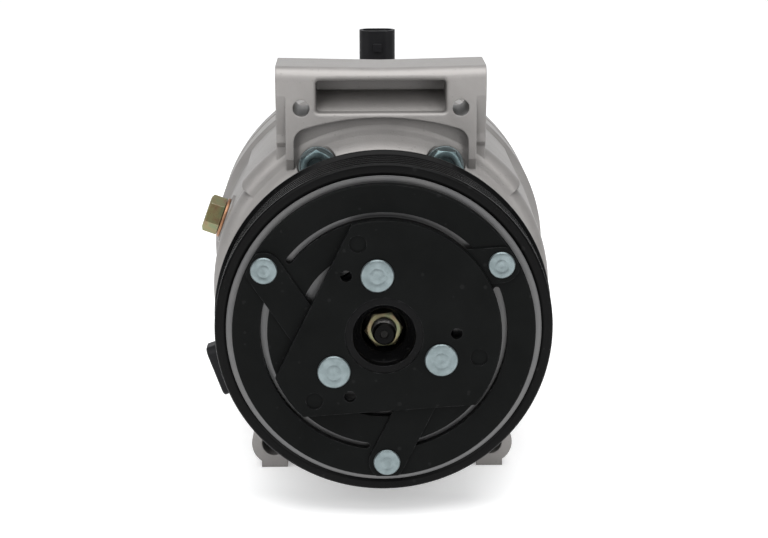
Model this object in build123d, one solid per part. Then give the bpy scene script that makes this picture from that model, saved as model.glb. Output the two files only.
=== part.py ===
from build123d import *
import os
from math import atan2, cos, degrees, hypot, radians, sin, sqrt, tan

# Air-conditioning compressor with its electromagnetic clutch on the front.
# Millimetres. The shaft axis is Y and the front faces -Y; +Z is up and +X is to the right from the front.
# The origin is on the shaft axis, in the middle plane of the belt track.
# Angles are seen from the front, from +X towards +Z. "front" and "rear" are places along Y.

# ---- clearances -----------------------------------------------------------------------------
seat_gap = 0.02
running_gap = 0.04
loose_gap = 0.3
air_gap = 0.5

# ---- belt track and pulley -------------------------------------------------------------------
groove_count = 5
groove_pitch = 3.56
groove_depth = 2.7
groove_root_width = 0.9
land_width = 0.7
pulley_radius = 65.0
front_lip_width = 1.4
rear_flange_width = 3.2
rear_flange_rise = 1.4
flange_slope = 0.9
rim_front_chamfer = 1.2
friction_ring_radius = 60.5
rotor_plate_thickness = 4.5
rotor_wall = 4.4
rotor_hub_wall = 4.6
rotor_slot_width = 3.0
rotor_slot_count = 6
rotor_slot_bridge = 14.0
rotor_outer_bridge = 10.0
rotor_inner_slot_radius = 38.56
rotor_outer_slot_radius = 52.6
rotor_lip_thickness = 1.6
rotor_lip_rise = 1.5

track_width = groove_count * groove_pitch
pulley_front = -track_width / 2 - front_lip_width
pulley_rear = track_width / 2 + rear_flange_width

# ---- pulley bearing: double-row ball bearing --------------------------------------------------
bearing_bore = 35.0
bearing_outside = 52.0
bearing_width = 20.0
bearing_ball = 5.0
bearing_ball_count = 16
bearing_race_wall = 2.6
bearing_row_offset = 4.6
bearing_seal_thickness = 1.0
snap_ring_thickness = 1.5
snap_ring_depth = 1.2
snap_ring_mouth = 24.0
snap_ring_rise = 2.2
bearing_ring_rise = 1.6

bearing_front = pulley_front + 3.6
bearing_rear = bearing_front + bearing_width

# ---- armature, leaf springs and driver plate ----------------------------------------------------
armature_radius = 58.0
armature_bore = 33.5
armature_thickness = 3.2
armature_slot_radius = 45.9
armature_slot_width = 2.6
armature_slot_half_bridge = 11.8
outer_rivet_angle = 31.05
outer_rivet_pitch_radius = 51.85
outer_rivet_head = 5.15
outer_rivet_head_height = 0.9
outer_rivet_shank = 2.6
inner_rivet_angle = 96.15
inner_rivet_pitch_radius = 23.78
inner_rivet_head = 6.35
inner_rivet_head_height = 1.2
inner_rivet_shank = 3.2
rivet_tail = 0.5
leaf_width = 14.0
leaf_thickness = 1.2
driver_radius = 44.8
driver_thickness = 2.8
driver_flat_distance = 30.0
driver_flat_angles = (153.75, 273.75)
driver_hole_angle = 1.35
driver_hole_pitch_radius = 27.5
driver_hole = 2.2
dimple_angles = (105.35, 223.95, 346.35)
dimple_pitch_radius = 37.2
dimple_radius = 3.3
dimple_depth = 0.9
edge_break = 0.4
turned_break = 0.6
machined_break = 0.8

armature_rear = pulley_front - air_gap
armature_front = armature_rear - armature_thickness
leaf_front = armature_front - leaf_thickness
driver_front = leaf_front - driver_thickness

# ---- hub, shaft and nut ---------------------------------------------------------------------------
hub_rim_radius = 14.85
hub_shoulder_radius = 16.2
hub_shoulder_depth = 1.6
hub_bowl_mouth = 12.1
hub_bowl_floor_radius = 8.6
hub_bowl_throat = 7.5
hub_bowl_land = 4.0
hub_floor_rounding = 1.5
hub_throat_rounding = 2.0
hub_land_rounding = 1.0
hub_web = 2.0
hub_boss_radius = 11.4
hub_boss_end = 8.0
nut_across_flats = 13.0
nut_height = 6.3
nut_seat = -3.0
thread_radius = 4.5
thread_pitch = 1.25
thread_depth = 0.6
thread_start = 1.2
thread_land = 0.1
stub_tip_behind_driver = 1.9
shaft_radius = 7.5
shaft_hub_radius = 6.0
shaft_seal_radius = 6.8
key_width = 3.0
key_length = 7.0
key_depth = 1.5

# ---- front head ---------------------------------------------------------------------------------------
nose_front = pulley_front + 1.6
nose_bore = 14.4
nose_shoulder_radius = 22.5
coil_seat_radius = 27.0
coil_seat_front = 15.4
head_wall_front = 18.0
head_wall_radius = 34.0
head_inner_face = 26.0
head_waist_radius = 46.0
head_waist_front = 33.0
head_shelf_radius = 60.0
head_shelf_front = 48.0
head_shelf_blend = 9.0
head_dome_radius = 70.0
head_edge_front = 50.0
head_edge_rounding = 6.0
lug_room_radius = 36.0
lug_room_rear = 40.0
swash_room_radius = 44.5
swash_room_front = 50.0
swash_room_rear = 56.0
head_rear = 62.0
case_cavity_radius = 50.5
case_radius = 70.0
case_draft = 1.0
shoulder_radius = 72.8
shoulder_half_angle = 53.0
shoulder_rounding = 2.4
shoulder_wall = 6.0
o_ring_circle = 53.0
o_ring_radius = 0.9

# ---- top mounting bar and bottom mounting feet ------------------------------------------------------------
bar_front = 44.9
bar_depth = 29.0
bar_half_width = 42.5
bar_top = 92.7
bar_saddle = 1.0
bar_hole_spacing = 64.4
bar_hole_z = 77.0
bar_hole_radius = 3.4
bar_pocket_half_width = 26.3
bar_pocket_low = 75.0
bar_pocket_high = 88.0
bar_pocket_depth = 20.0
bar_corner = 2.5
bar_edge_rounding = 5.0
bar_pocket_lip = 1.5
bar_core_radius = 22.0
bar_core_rise = 6.5
bar_web_half_width = 38.6
bar_web_low = 56.0
bar_cheek_top = 82.0
bar_cheek_low = 66.0
bar_cheek_end = 62.5
bar_cheek_step = 3.0
arch_half_width = 35.4
arch_top = 73.2
arch_radius = 109.0
arch_corner = 6.0
arch_depth = 5.0
foot_x = 45.5
foot_z = -66.0
foot_radius = 9.5
foot_hole_radius = 5.25
foot_pad_half_width = 5.5
foot_pad_z = -76.5
foot_front = 46.0
foot_length = 90.0
foot_web_half_width = 4.5
foot_web_height = 26.0

# ---- through bolts -----------------------------------------------------------------------------------------
bolt_circle_radius = 59.2
bolt_angles = (0.0, 64.0, 116.0, 180.0, 244.0, 296.0)
bolt_seat = 49.0
bolt_radius = 4.0
bolt_hole_radius = 4.3
bolt_head_across_flats = 13.0
bolt_head_height = 5.3
bolt_washer_radius = 7.7
bolt_washer_thickness = 1.6
bolt_spotface_radius = 8.4
bolt_thread_in_head = 14.0

# ---- shaft bearings and seal ----------------------------------------------------------------------------------
needle_radius = 1.5
needle_count = 14
needle_length = 9.0
needle_cup_wall = 1.4
needle_cup_length = 11.0
front_needle_front = 14.6
rear_needle_front = 108.0
shaft_seal_front = 8.6
shaft_seal_length = 5.4
seal_retainer_thickness = 1.2
retainer_clearance = 1.2
seal_lip_length = 2.2
seal_lip_rise = 2.4
thrust_roller_radius = 1.96
thrust_roller_length = 7.0
thrust_roller_pitch_radius = 18.5
thrust_roller_count = 16

# ---- lug plate, swash hub and wobble plate -------------------------------------------------------------------------
lug_front = 30.0
lug_thickness = 8.0
lug_radius = 28.0
lug_rounding = 1.0
lug_ear_below = 7.0
lug_ear_above = 9.0
link_slot_overrun = 2.0
link_slot_steps = 5
swash_centre = 66.0
swash_tilt_max = 20.0
hinge_ball_radius = 13.0
hinge_ball_half_length = 9.6
swash_half_length = 9.0
swash_hub_radius = 19.0
swash_flange_radius = 26.0
swash_bore_land = 12.6
swash_bore_mouth = 14.6
swash_bore_flare = 4.0
link_pin_radius = 3.0
link_pin_y = 48.0
link_pin_z = 24.0
link_arm_half_width = 5.0
link_arm_reach = 4.5
link_arm_rounding = 3.0
link_ear_thickness = 5.0
wobble_half_thickness = 5.0
wobble_radius = 44.0
wobble_rounding = 1.5
guide_notch_side = 2.2
guide_notch_floor = 3.0
guide_pin_radius = 3.5
guide_pin_pitch_radius = 46.0
guide_pin_front = 41.0
guide_pin_seat = 6.0
spring_wire = 0.8
spring_turns = 5
spring_end_gap = 0.2
spring_bore_gap = 0.8

# ---- cylinders and pistons ------------------------------------------------------------------------------------------
piston_count = 5
cylinder_pitch_radius = 36.6
cylinder_bore = 18.5
first_piston_angle = 90.0
block_front = 92.0
block_rear = 146.0
block_flange_radius = 74.6
block_flange_front = 128.0
block_flange_slope = 6.0
piston_length = 30.0
piston_front = 102.0
piston_wall = 3.0
piston_crown = 5.0
piston_groove_depth = 1.2
piston_groove_offset = 5.0
piston_groove_width = 2.0
piston_boss_rise = 2.0
piston_boss_slope = 4.0
rod_ball_radius = 4.5
rod_radius = 3.0

# ---- valve plate and rear head ----------------------------------------------------------------------------------------
reed_thickness = 0.4
valve_plate_thickness = 3.0
rear_head_length = 26.0
rear_head_radius = 74.6
rear_rim_length = 13.0
rear_step_radius = 66.6
rear_step_length = 17.0
rear_step_rounding = 5.0
rear_face_radius = 60.6
rear_face_rounding = 4.0
rear_pad_root = 16.0
suction_depth = 11.0
suction_port_floor = 4.0
discharge_port_floor = 13.0
passage_overlap = 1.5
port_pad_corner = 8.0
control_boss_wall = 4.5
control_boss_rise = 5.0
control_boss_rounding = 1.2
control_valve_floor = 15.0
control_cap_recess = 1.5
control_groove_depth = 1.0
control_nose_step = 4.0
control_nose_length = 3.0
control_groove_front = 5.0
control_groove_rear = 7.0
relief_boss_wall = 5.0
relief_boss_rise = 3.0
relief_valve_floor = 12.0
relief_body_length = 11.0
relief_hex_length = 6.0
relief_outlet_radius = 1.6
relief_outlet_depth = 3.0
valve_plate_radius = 71.0
discharge_radius = 24.0
chamber_depth = 14.0
chamber_wall = 4.0
chamber_outer_radius = 51.0
port_pad_half_width = 34.0
port_pad_low = 8.0
port_pad_high = 52.0
port_pad_rise = 8.0
port_z = 30.0
port_x = 19.0
suction_port_radius = 8.8
discharge_port_radius = 7.2
discharge_passage_radius = 4.0
port_bolt_radius = 4.2
port_bolt_depth = 16.0
control_valve_z = -34.0
control_valve_radius = 11.5
relief_valve_x = -30.0
relief_valve_z = -14.0
relief_valve_radius = 6.0
relief_valve_across_flats = 17.0

# ---- drain plug and pressure switch --------------------------------------------------------------------------------------
drain_angle = 160.0
drain_y = 80.0
drain_boss_radius = 10.5
drain_boss_face = 70.6
drain_washer_radius = 8.6
drain_washer_thickness = 1.4
drain_thread_radius = 5.0
drain_thread_length = 12.0
drain_across_flats = 14.0
drain_head_height = 7.0
switch_y = 160.0
switch_boss_radius = 11.0
switch_boss_face = 75.5
switch_thread_radius = 5.0
switch_thread_length = 10.0
switch_across_flats = 18.0
switch_body_height = 5.0
switch_top = 95.0
shroud_half_width = 8.2
shroud_half_depth = 5.6
shroud_wall = 1.4
shroud_floor = 3.0
latch_half_width = 1.8
latch_rise = 1.2
pin_half_width = 0.7
pin_half_depth = 0.3

# ---- coil -------------------------------------------------------------------------------------------------------------------
coil_inner_radius = 31.4
coil_outer_radius = 55.2
coil_shell = 2.4
coil_front = -4.9
winding_inner_radius = 36.5
winding_outer_radius = 50.0
winding_front = -1.0
winding_clearance = 1.6
connector_angle = 200.0
connector_half_width = 10.5
connector_front = 13.2
connector_depth = 12.0
connector_face = 71.4
connector_tongue_root = 46.0
connector_tongue_thickness = 4.0
connector_corner = 3.5
connector_wall = 1.8
socket_depth = 11.0
terminal_half_spacing = 3.4
terminal_reach = 8.0

coil_plate_rear = head_wall_front
connector_root = coil_outer_radius + loose_gap


def turned(*outline):
    """A solid turned about the shaft axis. Each point is (radius, y) or (radius, y, corner rounding)."""
    points = [(point[0], point[1]) for point in outline]
    rounding = [point[2] if len(point) > 2 else 0 for point in outline]
    if any(rounding):
        line = FilletPolyline(*points, radius=rounding, close=True)
    else:
        line = Polyline(*points, close=True)
    return revolve(make_face(line), Axis.Y)


def tube(outer, inner, front, rear):
    """A plain ring about the shaft axis."""
    return turned((inner, front), (outer, front), (outer, rear), (inner, rear))


def bar(radius, front, rear, x=0.0, z=0.0):
    """A round bar along Y."""
    return Pos(x, (front + rear) / 2, z) * Rot(X=90) * Cylinder(radius, rear - front)


def block(x_low, x_high, y_low, y_high, z_low, z_high):
    """A rectangular block between two corners."""
    middle = Pos((x_low + x_high) / 2, (y_low + y_high) / 2, (z_low + z_high) / 2)
    return middle * Box(x_high - x_low, y_high - y_low, z_high - z_low)


def hexagon(across_flats, front, rear, x=0.0, z=0.0):
    """A hexagonal prism along Y."""
    prism = extrude(RegularPolygon(across_flats / 2, 6, major_radius=False), rear - front)
    return Pos(x, rear, z) * Rot(X=90) * prism


def spun(shape, angle):
    """The shape turned about the shaft axis, so that +X goes to the given angle."""
    return Rot(Y=-angle) * shape


def ring_of(shape, count, start=0.0):
    """Equal copies of a shape about the shaft axis."""
    return [spun(shape, start + 360 * k / count) for k in range(count)]


def place(radius, angle):
    """The x and z of a point at a radius and an angle."""
    return radius * cos(radians(angle)), radius * sin(radians(angle))


def cut_all(shape, tools):
    """The shape with every tool cut away."""
    for tool in tools:
        shape = shape - tool
    return shape


def arc_slot(radius, width, start, end, front, rear):
    """A curved slot with round ends, cut along Y."""
    section = Pos(radius, (front + rear) / 2) * Rectangle(width, rear - front)
    sweep_angle = end - start
    body = spun(revolve(section, Axis.Y, -sweep_angle), start)
    for angle in (start, end):
        x, z = place(radius, angle)
        body = body + bar(width / 2, front, rear, x, z)
    return body


def group(solids):
    """Separate solids kept together in one node."""
    return Compound(children=list(solids))


# ---- clutch: armature side ----------------------------------------------------------------------------------------------------
outer_rivet_angles = [outer_rivet_angle + 120 * k for k in range(3)]
inner_rivet_angles = [inner_rivet_angle + 120 * k for k in range(3)]


def armature_plate():
    """Flat steel ring that the coil pulls against the rotor, with three flux slots."""
    plate = turned(
        (armature_bore, armature_front),
        (armature_radius, armature_front, edge_break),
        (armature_radius, armature_rear, edge_break),
        (armature_bore, armature_rear),
    )
    for angle in outer_rivet_angles:
        start = angle + 2 + armature_slot_half_bridge
        end = angle + 122 - armature_slot_half_bridge
        slot = arc_slot(armature_slot_radius, armature_slot_width, start, end,
                        armature_front - 1, armature_rear + 1)
        x, z = place(outer_rivet_pitch_radius, angle)
        plate = plate - slot
        plate = plate - bar(outer_rivet_shank + seat_gap, armature_front - 1, armature_rear + 1, x, z)
    return plate


def rivet(head, head_height, shank, head_seat, tail_end, rounding):
    """A rivet on the shaft axis: flat head to the front, shank, and a tail set flush behind."""
    return turned(
        (0, head_seat - head_height),
        (head, head_seat - head_height, rounding),
        (head, head_seat),
        (shank, head_seat),
        (shank, tail_end),
        (0, tail_end),
    )


def outer_rivets():
    """Three rivets that hold the leaf springs to the armature plate."""
    rivets = []
    for angle in outer_rivet_angles:
        x, z = place(outer_rivet_pitch_radius, angle)
        one = rivet(outer_rivet_head, outer_rivet_head_height, outer_rivet_shank, leaf_front,
                    armature_rear - rivet_tail, outer_rivet_head_height / 2)
        rivets.append(Pos(x, 0, z) * one)
    return group(rivets)


def inner_rivets():
    """Three rivets that hold the leaf springs to the driver plate."""
    rivets = []
    for angle in inner_rivet_angles:
        x, z = place(inner_rivet_pitch_radius, angle)
        one = rivet(inner_rivet_head, inner_rivet_head_height, inner_rivet_shank, driver_front,
                    armature_front + rivet_tail, inner_rivet_head_height / 2)
        tail = Pos(0, 0, 0) * turned(
            (0, armature_front + seat_gap),
            (inner_rivet_shank + 1, armature_front + seat_gap),
            (inner_rivet_shank + 1, armature_front + rivet_tail),
            (0, armature_front + rivet_tail),
        )
        rivets.append(Pos(x, 0, z) * (one + tail))
    return group(rivets)


def leaf_springs():
    """Three flat spring-steel leaves, each from an outer rivet to an inner rivet."""
    leaves = []
    for outer_angle, inner_angle in zip(outer_rivet_angles, inner_rivet_angles):
        x_out, z_out = place(outer_rivet_pitch_radius, outer_angle)
        x_in, z_in = place(inner_rivet_pitch_radius, inner_angle)
        span = hypot(x_in - x_out, z_in - z_out)
        slope = degrees(atan2(z_in - z_out, x_in - x_out))
        strip = Pos(span / 2, 0) * SlotCenterToCenter(span, leaf_width)
        strip = strip - Circle(outer_rivet_shank + seat_gap)
        strip = strip - Pos(span, 0) * Circle(inner_rivet_shank + seat_gap)
        leaf = Pos(x_out, armature_front, z_out) * Rot(Y=-slope) * Rot(X=90) * extrude(strip, leaf_thickness)
        leaf = leaf & bar(armature_radius - edge_break, leaf_front - 1, armature_front + 1)
        leaves.append(leaf)
    return group(leaves)


def driver_plate():
    """Stamped steel plate on the hub: a disc with two straight sides, holes and pressed dimples."""
    plate = turned(
        (hub_rim_radius + seat_gap, driver_front),
        (driver_radius, driver_front, edge_break),
        (driver_radius, leaf_front, edge_break),
        (hub_rim_radius + seat_gap, leaf_front),
    )
    for angle in driver_flat_angles:
        waste = block(driver_flat_distance, driver_radius + 1, driver_front - 1, leaf_front + 1,
                      -driver_radius, driver_radius)
        plate = plate - spun(waste, angle)
    for angle in inner_rivet_angles:
        x, z = place(inner_rivet_pitch_radius, angle)
        plate = plate - bar(inner_rivet_shank + seat_gap, driver_front - 1, leaf_front + 1, x, z)
    for k in range(3):
        x, z = place(driver_hole_pitch_radius, driver_hole_angle + 120 * k)
        plate = plate - bar(driver_hole, driver_front - 1, leaf_front + 1, x, z)
    for angle in dimple_angles:
        x, z = place(dimple_pitch_radius, angle)
        plate = plate - bar(dimple_radius, driver_front - 1, driver_front + dimple_depth, x, z)
    return plate


def stop_bumpers():
    """Three rubber stops behind the driver plate, which the armature rests against when released."""
    pads = []
    for angle in dimple_angles:
        x, z = place(dimple_pitch_radius, angle)
        pads.append(bar(dimple_radius, leaf_front, armature_front, x, z))
    return group(pads)


def clutch_hub():
    """Turned hub: a rim in the driver plate, a bowl for the shaft nut, and a keyed boss."""
    hub = turned(
        (hub_bowl_mouth, driver_front + edge_break),
        (hub_rim_radius, driver_front + edge_break),
        (hub_rim_radius, leaf_front + seat_gap),
        (hub_shoulder_radius, leaf_front + seat_gap),
        (hub_shoulder_radius, leaf_front + hub_shoulder_depth, edge_break),
        (hub_rim_radius - 1, leaf_front + hub_shoulder_depth),
        (hub_boss_radius, nose_front - 1, 1.0),
        (hub_boss_radius, hub_boss_end, edge_break),
        (shaft_hub_radius + seat_gap, hub_boss_end),
        (shaft_hub_radius + seat_gap, nut_seat + hub_web),
        (thread_radius + loose_gap, nut_seat + hub_web),
        (thread_radius + loose_gap, nut_seat),
        (hub_bowl_floor_radius, nut_seat, hub_floor_rounding),
        (hub_bowl_floor_radius, driver_front + hub_bowl_throat, hub_throat_rounding),
        (hub_bowl_mouth, driver_front + hub_bowl_land, hub_land_rounding),
    )
    slot = block(-key_width / 2 - seat_gap, key_width / 2 + seat_gap, nut_seat + hub_web, hub_boss_end + 1,
                 0, shaft_hub_radius + key_depth + seat_gap)
    return hub - slot


def shaft_nut():
    """Hexagon nut that draws the hub onto the shaft."""
    front = nut_seat - nut_height
    rear = nut_seat - seat_gap
    corner = nut_across_flats / sqrt(3)
    nut = hexagon(nut_across_flats, front, rear) & turned(
        (0, front), (nut_across_flats / 2, front), (corner, front + turned_break), (corner, rear - turned_break),
        (nut_across_flats / 2, rear), (0, rear))
    return nut - bar(thread_radius + seat_gap, front - 1, nut_seat + 1)


def drive_key():
    """Square key between the shaft and the hub."""
    start = hub_boss_end - key_length
    return block(-key_width / 2, key_width / 2, start, hub_boss_end - edge_break,
                 shaft_hub_radius - key_depth, shaft_hub_radius + key_depth)


# ---- clutch: pulley side ---------------------------------------------------------------------------------------------------------
def pulley_rim():
    """Roll-formed steel rim with V grooves for the ribbed belt and a raised rear flange."""
    flange_radius = pulley_radius + rear_flange_rise
    outline = [
        (friction_ring_radius + seat_gap, pulley_front + turned_break),
        (friction_ring_radius + rim_front_chamfer, pulley_front),
        (pulley_radius - turned_break, pulley_front),
        (pulley_radius, pulley_front + turned_break),
    ]
    root_radius = pulley_radius - groove_depth
    for k in range(groove_count):
        start = -track_width / 2 + k * groove_pitch
        middle = start + groove_pitch / 2
        outline += [
            (pulley_radius, start + land_width / 2),
            (root_radius, middle - groove_root_width / 2),
            (root_radius, middle + groove_root_width / 2),
            (pulley_radius, start + groove_pitch - land_width / 2),
        ]
    outline += [
        (flange_radius, track_width / 2 + flange_slope),
        (flange_radius, pulley_rear - turned_break),
        (flange_radius - turned_break, pulley_rear),
        (friction_ring_radius + seat_gap, pulley_rear),
    ]
    return turned(*outline)


def rotor():
    """Steel rotor: slotted friction plate, inner hub on the bearing, outer wall under the rim."""
    bore = bearing_outside / 2 + seat_gap
    hub_radius = bore + rotor_hub_wall
    plate_rear = pulley_front + rotor_plate_thickness
    body = turned(
        (bore, pulley_front, machined_break),
        (friction_ring_radius, pulley_front),
        (friction_ring_radius, pulley_rear),
        (friction_ring_radius - rotor_wall, pulley_rear),
        (friction_ring_radius - rotor_wall, plate_rear, machined_break),
        (hub_radius, plate_rear, machined_break),
        (hub_radius, bearing_rear + rotor_lip_thickness),
        (bore - rotor_lip_rise, bearing_rear + rotor_lip_thickness),
        (bore - rotor_lip_rise, bearing_rear + seat_gap),
        (bore, bearing_rear + seat_gap),
    )
    ring_front = bearing_front - snap_ring_thickness - seat_gap
    body = body - tube(bore + snap_ring_depth, bore - 1, ring_front, bearing_front)
    step = 360 / rotor_slot_count
    rings = ((rotor_inner_slot_radius, rotor_slot_bridge, 0), (rotor_outer_slot_radius, rotor_outer_bridge, step / 2))
    for radius, bridge, offset in rings:
        for k in range(rotor_slot_count):
            start = k * step + offset + bridge / 2
            slot = arc_slot(radius, rotor_slot_width, start, start + step - bridge,
                            pulley_front - 1, plate_rear + 1)
            body = body - slot
    return body


def split_ring(outer, inner, front, rear, mouth, angle):
    """A retaining ring with an open mouth."""
    ring = tube(outer, inner, front, rear)
    reach = outer + 2
    half = reach * tan(radians(mouth / 2))
    wedge = Pos(0, rear + 1, 0) * Rot(X=90) * extrude(
        make_face(Polyline((0, 0), (reach, -half), (reach, half), close=True)), rear - front + 2)
    return ring - spun(wedge, angle)


def rotor_snap_ring():
    """Internal retaining ring that holds the bearing in the rotor."""
    bore = bearing_outside / 2
    return split_ring(bore + snap_ring_depth - loose_gap, bore - snap_ring_rise,
                      bearing_front - snap_ring_thickness, bearing_front - seat_gap, snap_ring_mouth, -90)


def bearing_rows():
    """The y of the two ball rows."""
    middle = (bearing_front + bearing_rear) / 2
    return middle - bearing_row_offset, middle + bearing_row_offset


ball_circle = (bearing_bore + bearing_outside) / 4


def bearing_race(outer, inner):
    """A bearing ring with a raceway groove for each ball row."""
    ring = turned(
        (inner, bearing_front, edge_break), (outer, bearing_front, edge_break),
        (outer, bearing_rear, edge_break), (inner, bearing_rear, edge_break))
    for row in bearing_rows():
        groove = Pos(ball_circle, row) * Circle(bearing_ball / 2 + running_gap)
        ring = ring - revolve(groove, Axis.Y)
    return ring


def bearing_outer_race():
    """Outer ring of the pulley bearing."""
    outer = bearing_outside / 2
    return bearing_race(outer, outer - bearing_race_wall)


def bearing_inner_race():
    """Inner ring of the pulley bearing."""
    inner = bearing_bore / 2 + seat_gap
    return bearing_race(inner + bearing_race_wall, inner)


def bearing_balls():
    """Two rows of balls between the rings."""
    balls = []
    for row in bearing_rows():
        balls += ring_of(Pos(ball_circle, row, 0) * Sphere(bearing_ball / 2), bearing_ball_count)
    return group(balls)


def bearing_seals():
    """Two rubber seals that close the bearing between its rings."""
    outer = bearing_outside / 2 - bearing_race_wall - seat_gap
    inner = bearing_bore / 2 + bearing_race_wall + 2 * running_gap
    inset = 0.4
    front_seal = tube(outer, inner, bearing_front + inset, bearing_front + inset + bearing_seal_thickness)
    rear_seal = tube(outer, inner, bearing_rear - inset - bearing_seal_thickness, bearing_rear - inset)
    return group([front_seal, rear_seal])


def bearing_snap_ring():
    """External retaining ring that holds the bearing on the nose."""
    seat = bearing_bore / 2
    return split_ring(seat + bearing_ring_rise, seat - snap_ring_depth + loose_gap,
                      bearing_front - snap_ring_thickness, bearing_front - seat_gap, snap_ring_mouth, 90)


# ---- clutch: coil ------------------------------------------------------------------------------------------------------------------
def coil_housing():
    """Pressed steel channel around the winding, on a back plate pressed onto the front head."""
    channel_floor = coil_plate_rear - coil_shell
    return turned(
        (coil_seat_radius + seat_gap, channel_floor),
        (coil_inner_radius, channel_floor),
        (coil_inner_radius, coil_front, edge_break),
        (coil_inner_radius + coil_shell, coil_front, edge_break),
        (coil_inner_radius + coil_shell, channel_floor),
        (coil_outer_radius - coil_shell, channel_floor),
        (coil_outer_radius - coil_shell, coil_front, edge_break),
        (coil_outer_radius, coil_front, edge_break),
        (coil_outer_radius, coil_plate_rear, edge_break),
        (coil_seat_radius + seat_gap, coil_plate_rear),
    )


def coil_winding():
    """Enamelled copper winding."""
    rear = coil_plate_rear - coil_shell - winding_clearance
    return tube(winding_outer_radius, winding_inner_radius, winding_front, rear)


def coil_potting():
    """Resin that fills the channel around the winding."""
    outer = coil_outer_radius - coil_shell - seat_gap
    inner = coil_inner_radius + coil_shell + seat_gap
    fill = tube(outer, inner, coil_front + 1.0, coil_plate_rear - coil_shell - seat_gap)
    winding_rear = coil_plate_rear - coil_shell - winding_clearance
    return fill - tube(winding_outer_radius + seat_gap, winding_inner_radius - seat_gap,
                       winding_front - seat_gap, winding_rear + seat_gap)


def connector_place():
    """The frame of the coil connector: local +X leaves the shaft radially, local Y is the shaft axis."""
    return Rot(Y=-connector_angle)


def coil_connector():
    """Moulded plug socket of the coil, which opens away from the shaft."""
    rear = connector_front + connector_depth
    shell = block(connector_root, connector_face, connector_front, rear,
                  -connector_half_width, connector_half_width)
    shell = fillet(shell.edges().filter_by(Axis.X), connector_corner)
    shell = chamfer(shell.faces().sort_by(Axis.X)[-1].edges(), edge_break)
    cavity = block(connector_face - socket_depth, connector_face + 1,
                   connector_front + connector_wall, rear - connector_wall,
                   -connector_half_width + connector_wall, connector_half_width - connector_wall)
    cavity = fillet(cavity.edges().filter_by(Axis.X), connector_corner - connector_wall)
    tongue_front = coil_plate_rear + seat_gap
    tongue = block(connector_tongue_root, connector_root + 1, tongue_front,
                   tongue_front + connector_tongue_thickness, -connector_half_width + 2, connector_half_width - 2)
    shell = shell + tongue - cavity
    for side in (-1, 1):
        slot = block(connector_root + 2, connector_face, -pin_half_width - seat_gap, pin_half_width + seat_gap,
                     -pin_half_depth - seat_gap, pin_half_depth + seat_gap)
        shell = shell - Pos(0, connector_front + connector_depth / 2, side * terminal_half_spacing) * slot
    return connector_place() * shell


def coil_terminals():
    """Two flat pins in the coil's socket."""
    pins = []
    for side in (-1, 1):
        tip = connector_face - socket_depth + terminal_reach
        pin = block(connector_root + 3, tip, -pin_half_width, pin_half_width, -pin_half_depth, pin_half_depth)
        pins.append(connector_place() * Pos(0, connector_front + connector_depth / 2,
                                            side * terminal_half_spacing) * pin)
    return group(pins)


# ---- front head --------------------------------------------------------------------------------------------------------------------------
needle_pitch_radius = shaft_radius + needle_radius + running_gap
needle_cup_inner = needle_pitch_radius + needle_radius + running_gap
needle_cup_outer = needle_cup_inner + needle_cup_wall


def bolt_places():
    """The x and z of each through bolt."""
    return [place(bolt_circle_radius, angle) for angle in bolt_angles]


def mounting_bar():
    """Cast bar across the top of the front head: a pocket in its face and two legs below, with an arch between."""
    rear = bar_front + bar_depth
    face = make_face(Polyline(
        (-bar_half_width, bar_top + bar_saddle), (0, bar_top), (bar_half_width, bar_top + bar_saddle),
        (bar_half_width, case_cavity_radius), (-bar_half_width, case_cavity_radius), close=True))
    body = Pos(0, rear, 0) * Rot(X=90) * extrude(face, bar_depth)
    upper = [edge for edge in body.edges().group_by(Axis.Y)[0] if edge.center().Z > bar_top]
    body = fillet(upper, bar_edge_rounding)
    pocket = block(-bar_pocket_half_width, bar_pocket_half_width, bar_front - 1, bar_front + bar_pocket_depth,
                   bar_pocket_low, bar_pocket_high)
    pocket = fillet(pocket.edges().filter_by(Axis.Y), bar_pocket_lip)
    core = Pos(0, bar_front + bar_pocket_depth, bar_pocket_low - bar_core_radius + bar_core_rise)
    core = core * Rot(Y=90) * Cylinder(bar_core_radius, 2 * bar_half_width)
    body = body - (pocket - core)
    mouth = [edge for edge in body.edges().group_by(Axis.Y)[0]
             if abs(edge.center().X) < bar_half_width - 1 and bar_pocket_low + 1 < edge.center().Z < bar_top - 1]
    body = fillet(mouth, bar_pocket_lip)
    arch = block(-arch_half_width, arch_half_width, bar_front - 1, bar_front + arch_depth,
                 case_cavity_radius - 1, arch_top + 1)
    arch = arch & bar(arch_radius, bar_front - 1, bar_front + arch_depth, 0, arch_top - arch_radius)
    crown = [edge for edge in arch.edges().filter_by(Axis.Y) if edge.center().Z > bar_web_low]
    body = body - fillet(crown, arch_corner)
    cheek = make_face(Plane.YZ * Polyline(
        (bar_front - 1, bar_cheek_top), (bar_front, bar_cheek_top), (bar_front + bar_cheek_step, bar_cheek_low),
        (bar_front + bar_cheek_step, bar_cheek_end), (bar_front + arch_depth, bar_cheek_end - 2),
        (bar_front + arch_depth, case_cavity_radius - 1), (bar_front - 1, case_cavity_radius - 1), close=True))
    cheek = Pos(bar_web_half_width, 0, 0) * extrude(cheek, bar_half_width - bar_web_half_width + 1, dir=(1, 0, 0))
    leg_end = make_face(Plane.YZ * Polyline(
        (bar_front - 1, bar_web_low), (bar_front, bar_web_low),
        (bar_front + arch_depth, case_cavity_radius - 1), (bar_front - 1, case_cavity_radius - 1), close=True))
    leg_end = extrude(leg_end, bar_half_width, both=True)
    return body - cheek - mirror(cheek, about=Plane.YZ) - leg_end


def bar_holes():
    """The two threaded mounting holes through the bar."""
    rear = bar_front + bar_depth
    return [bar(bar_hole_radius, bar_front - 1, rear + 1, side * bar_hole_spacing / 2, bar_hole_z)
            for side in (-1, 1)]


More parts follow.
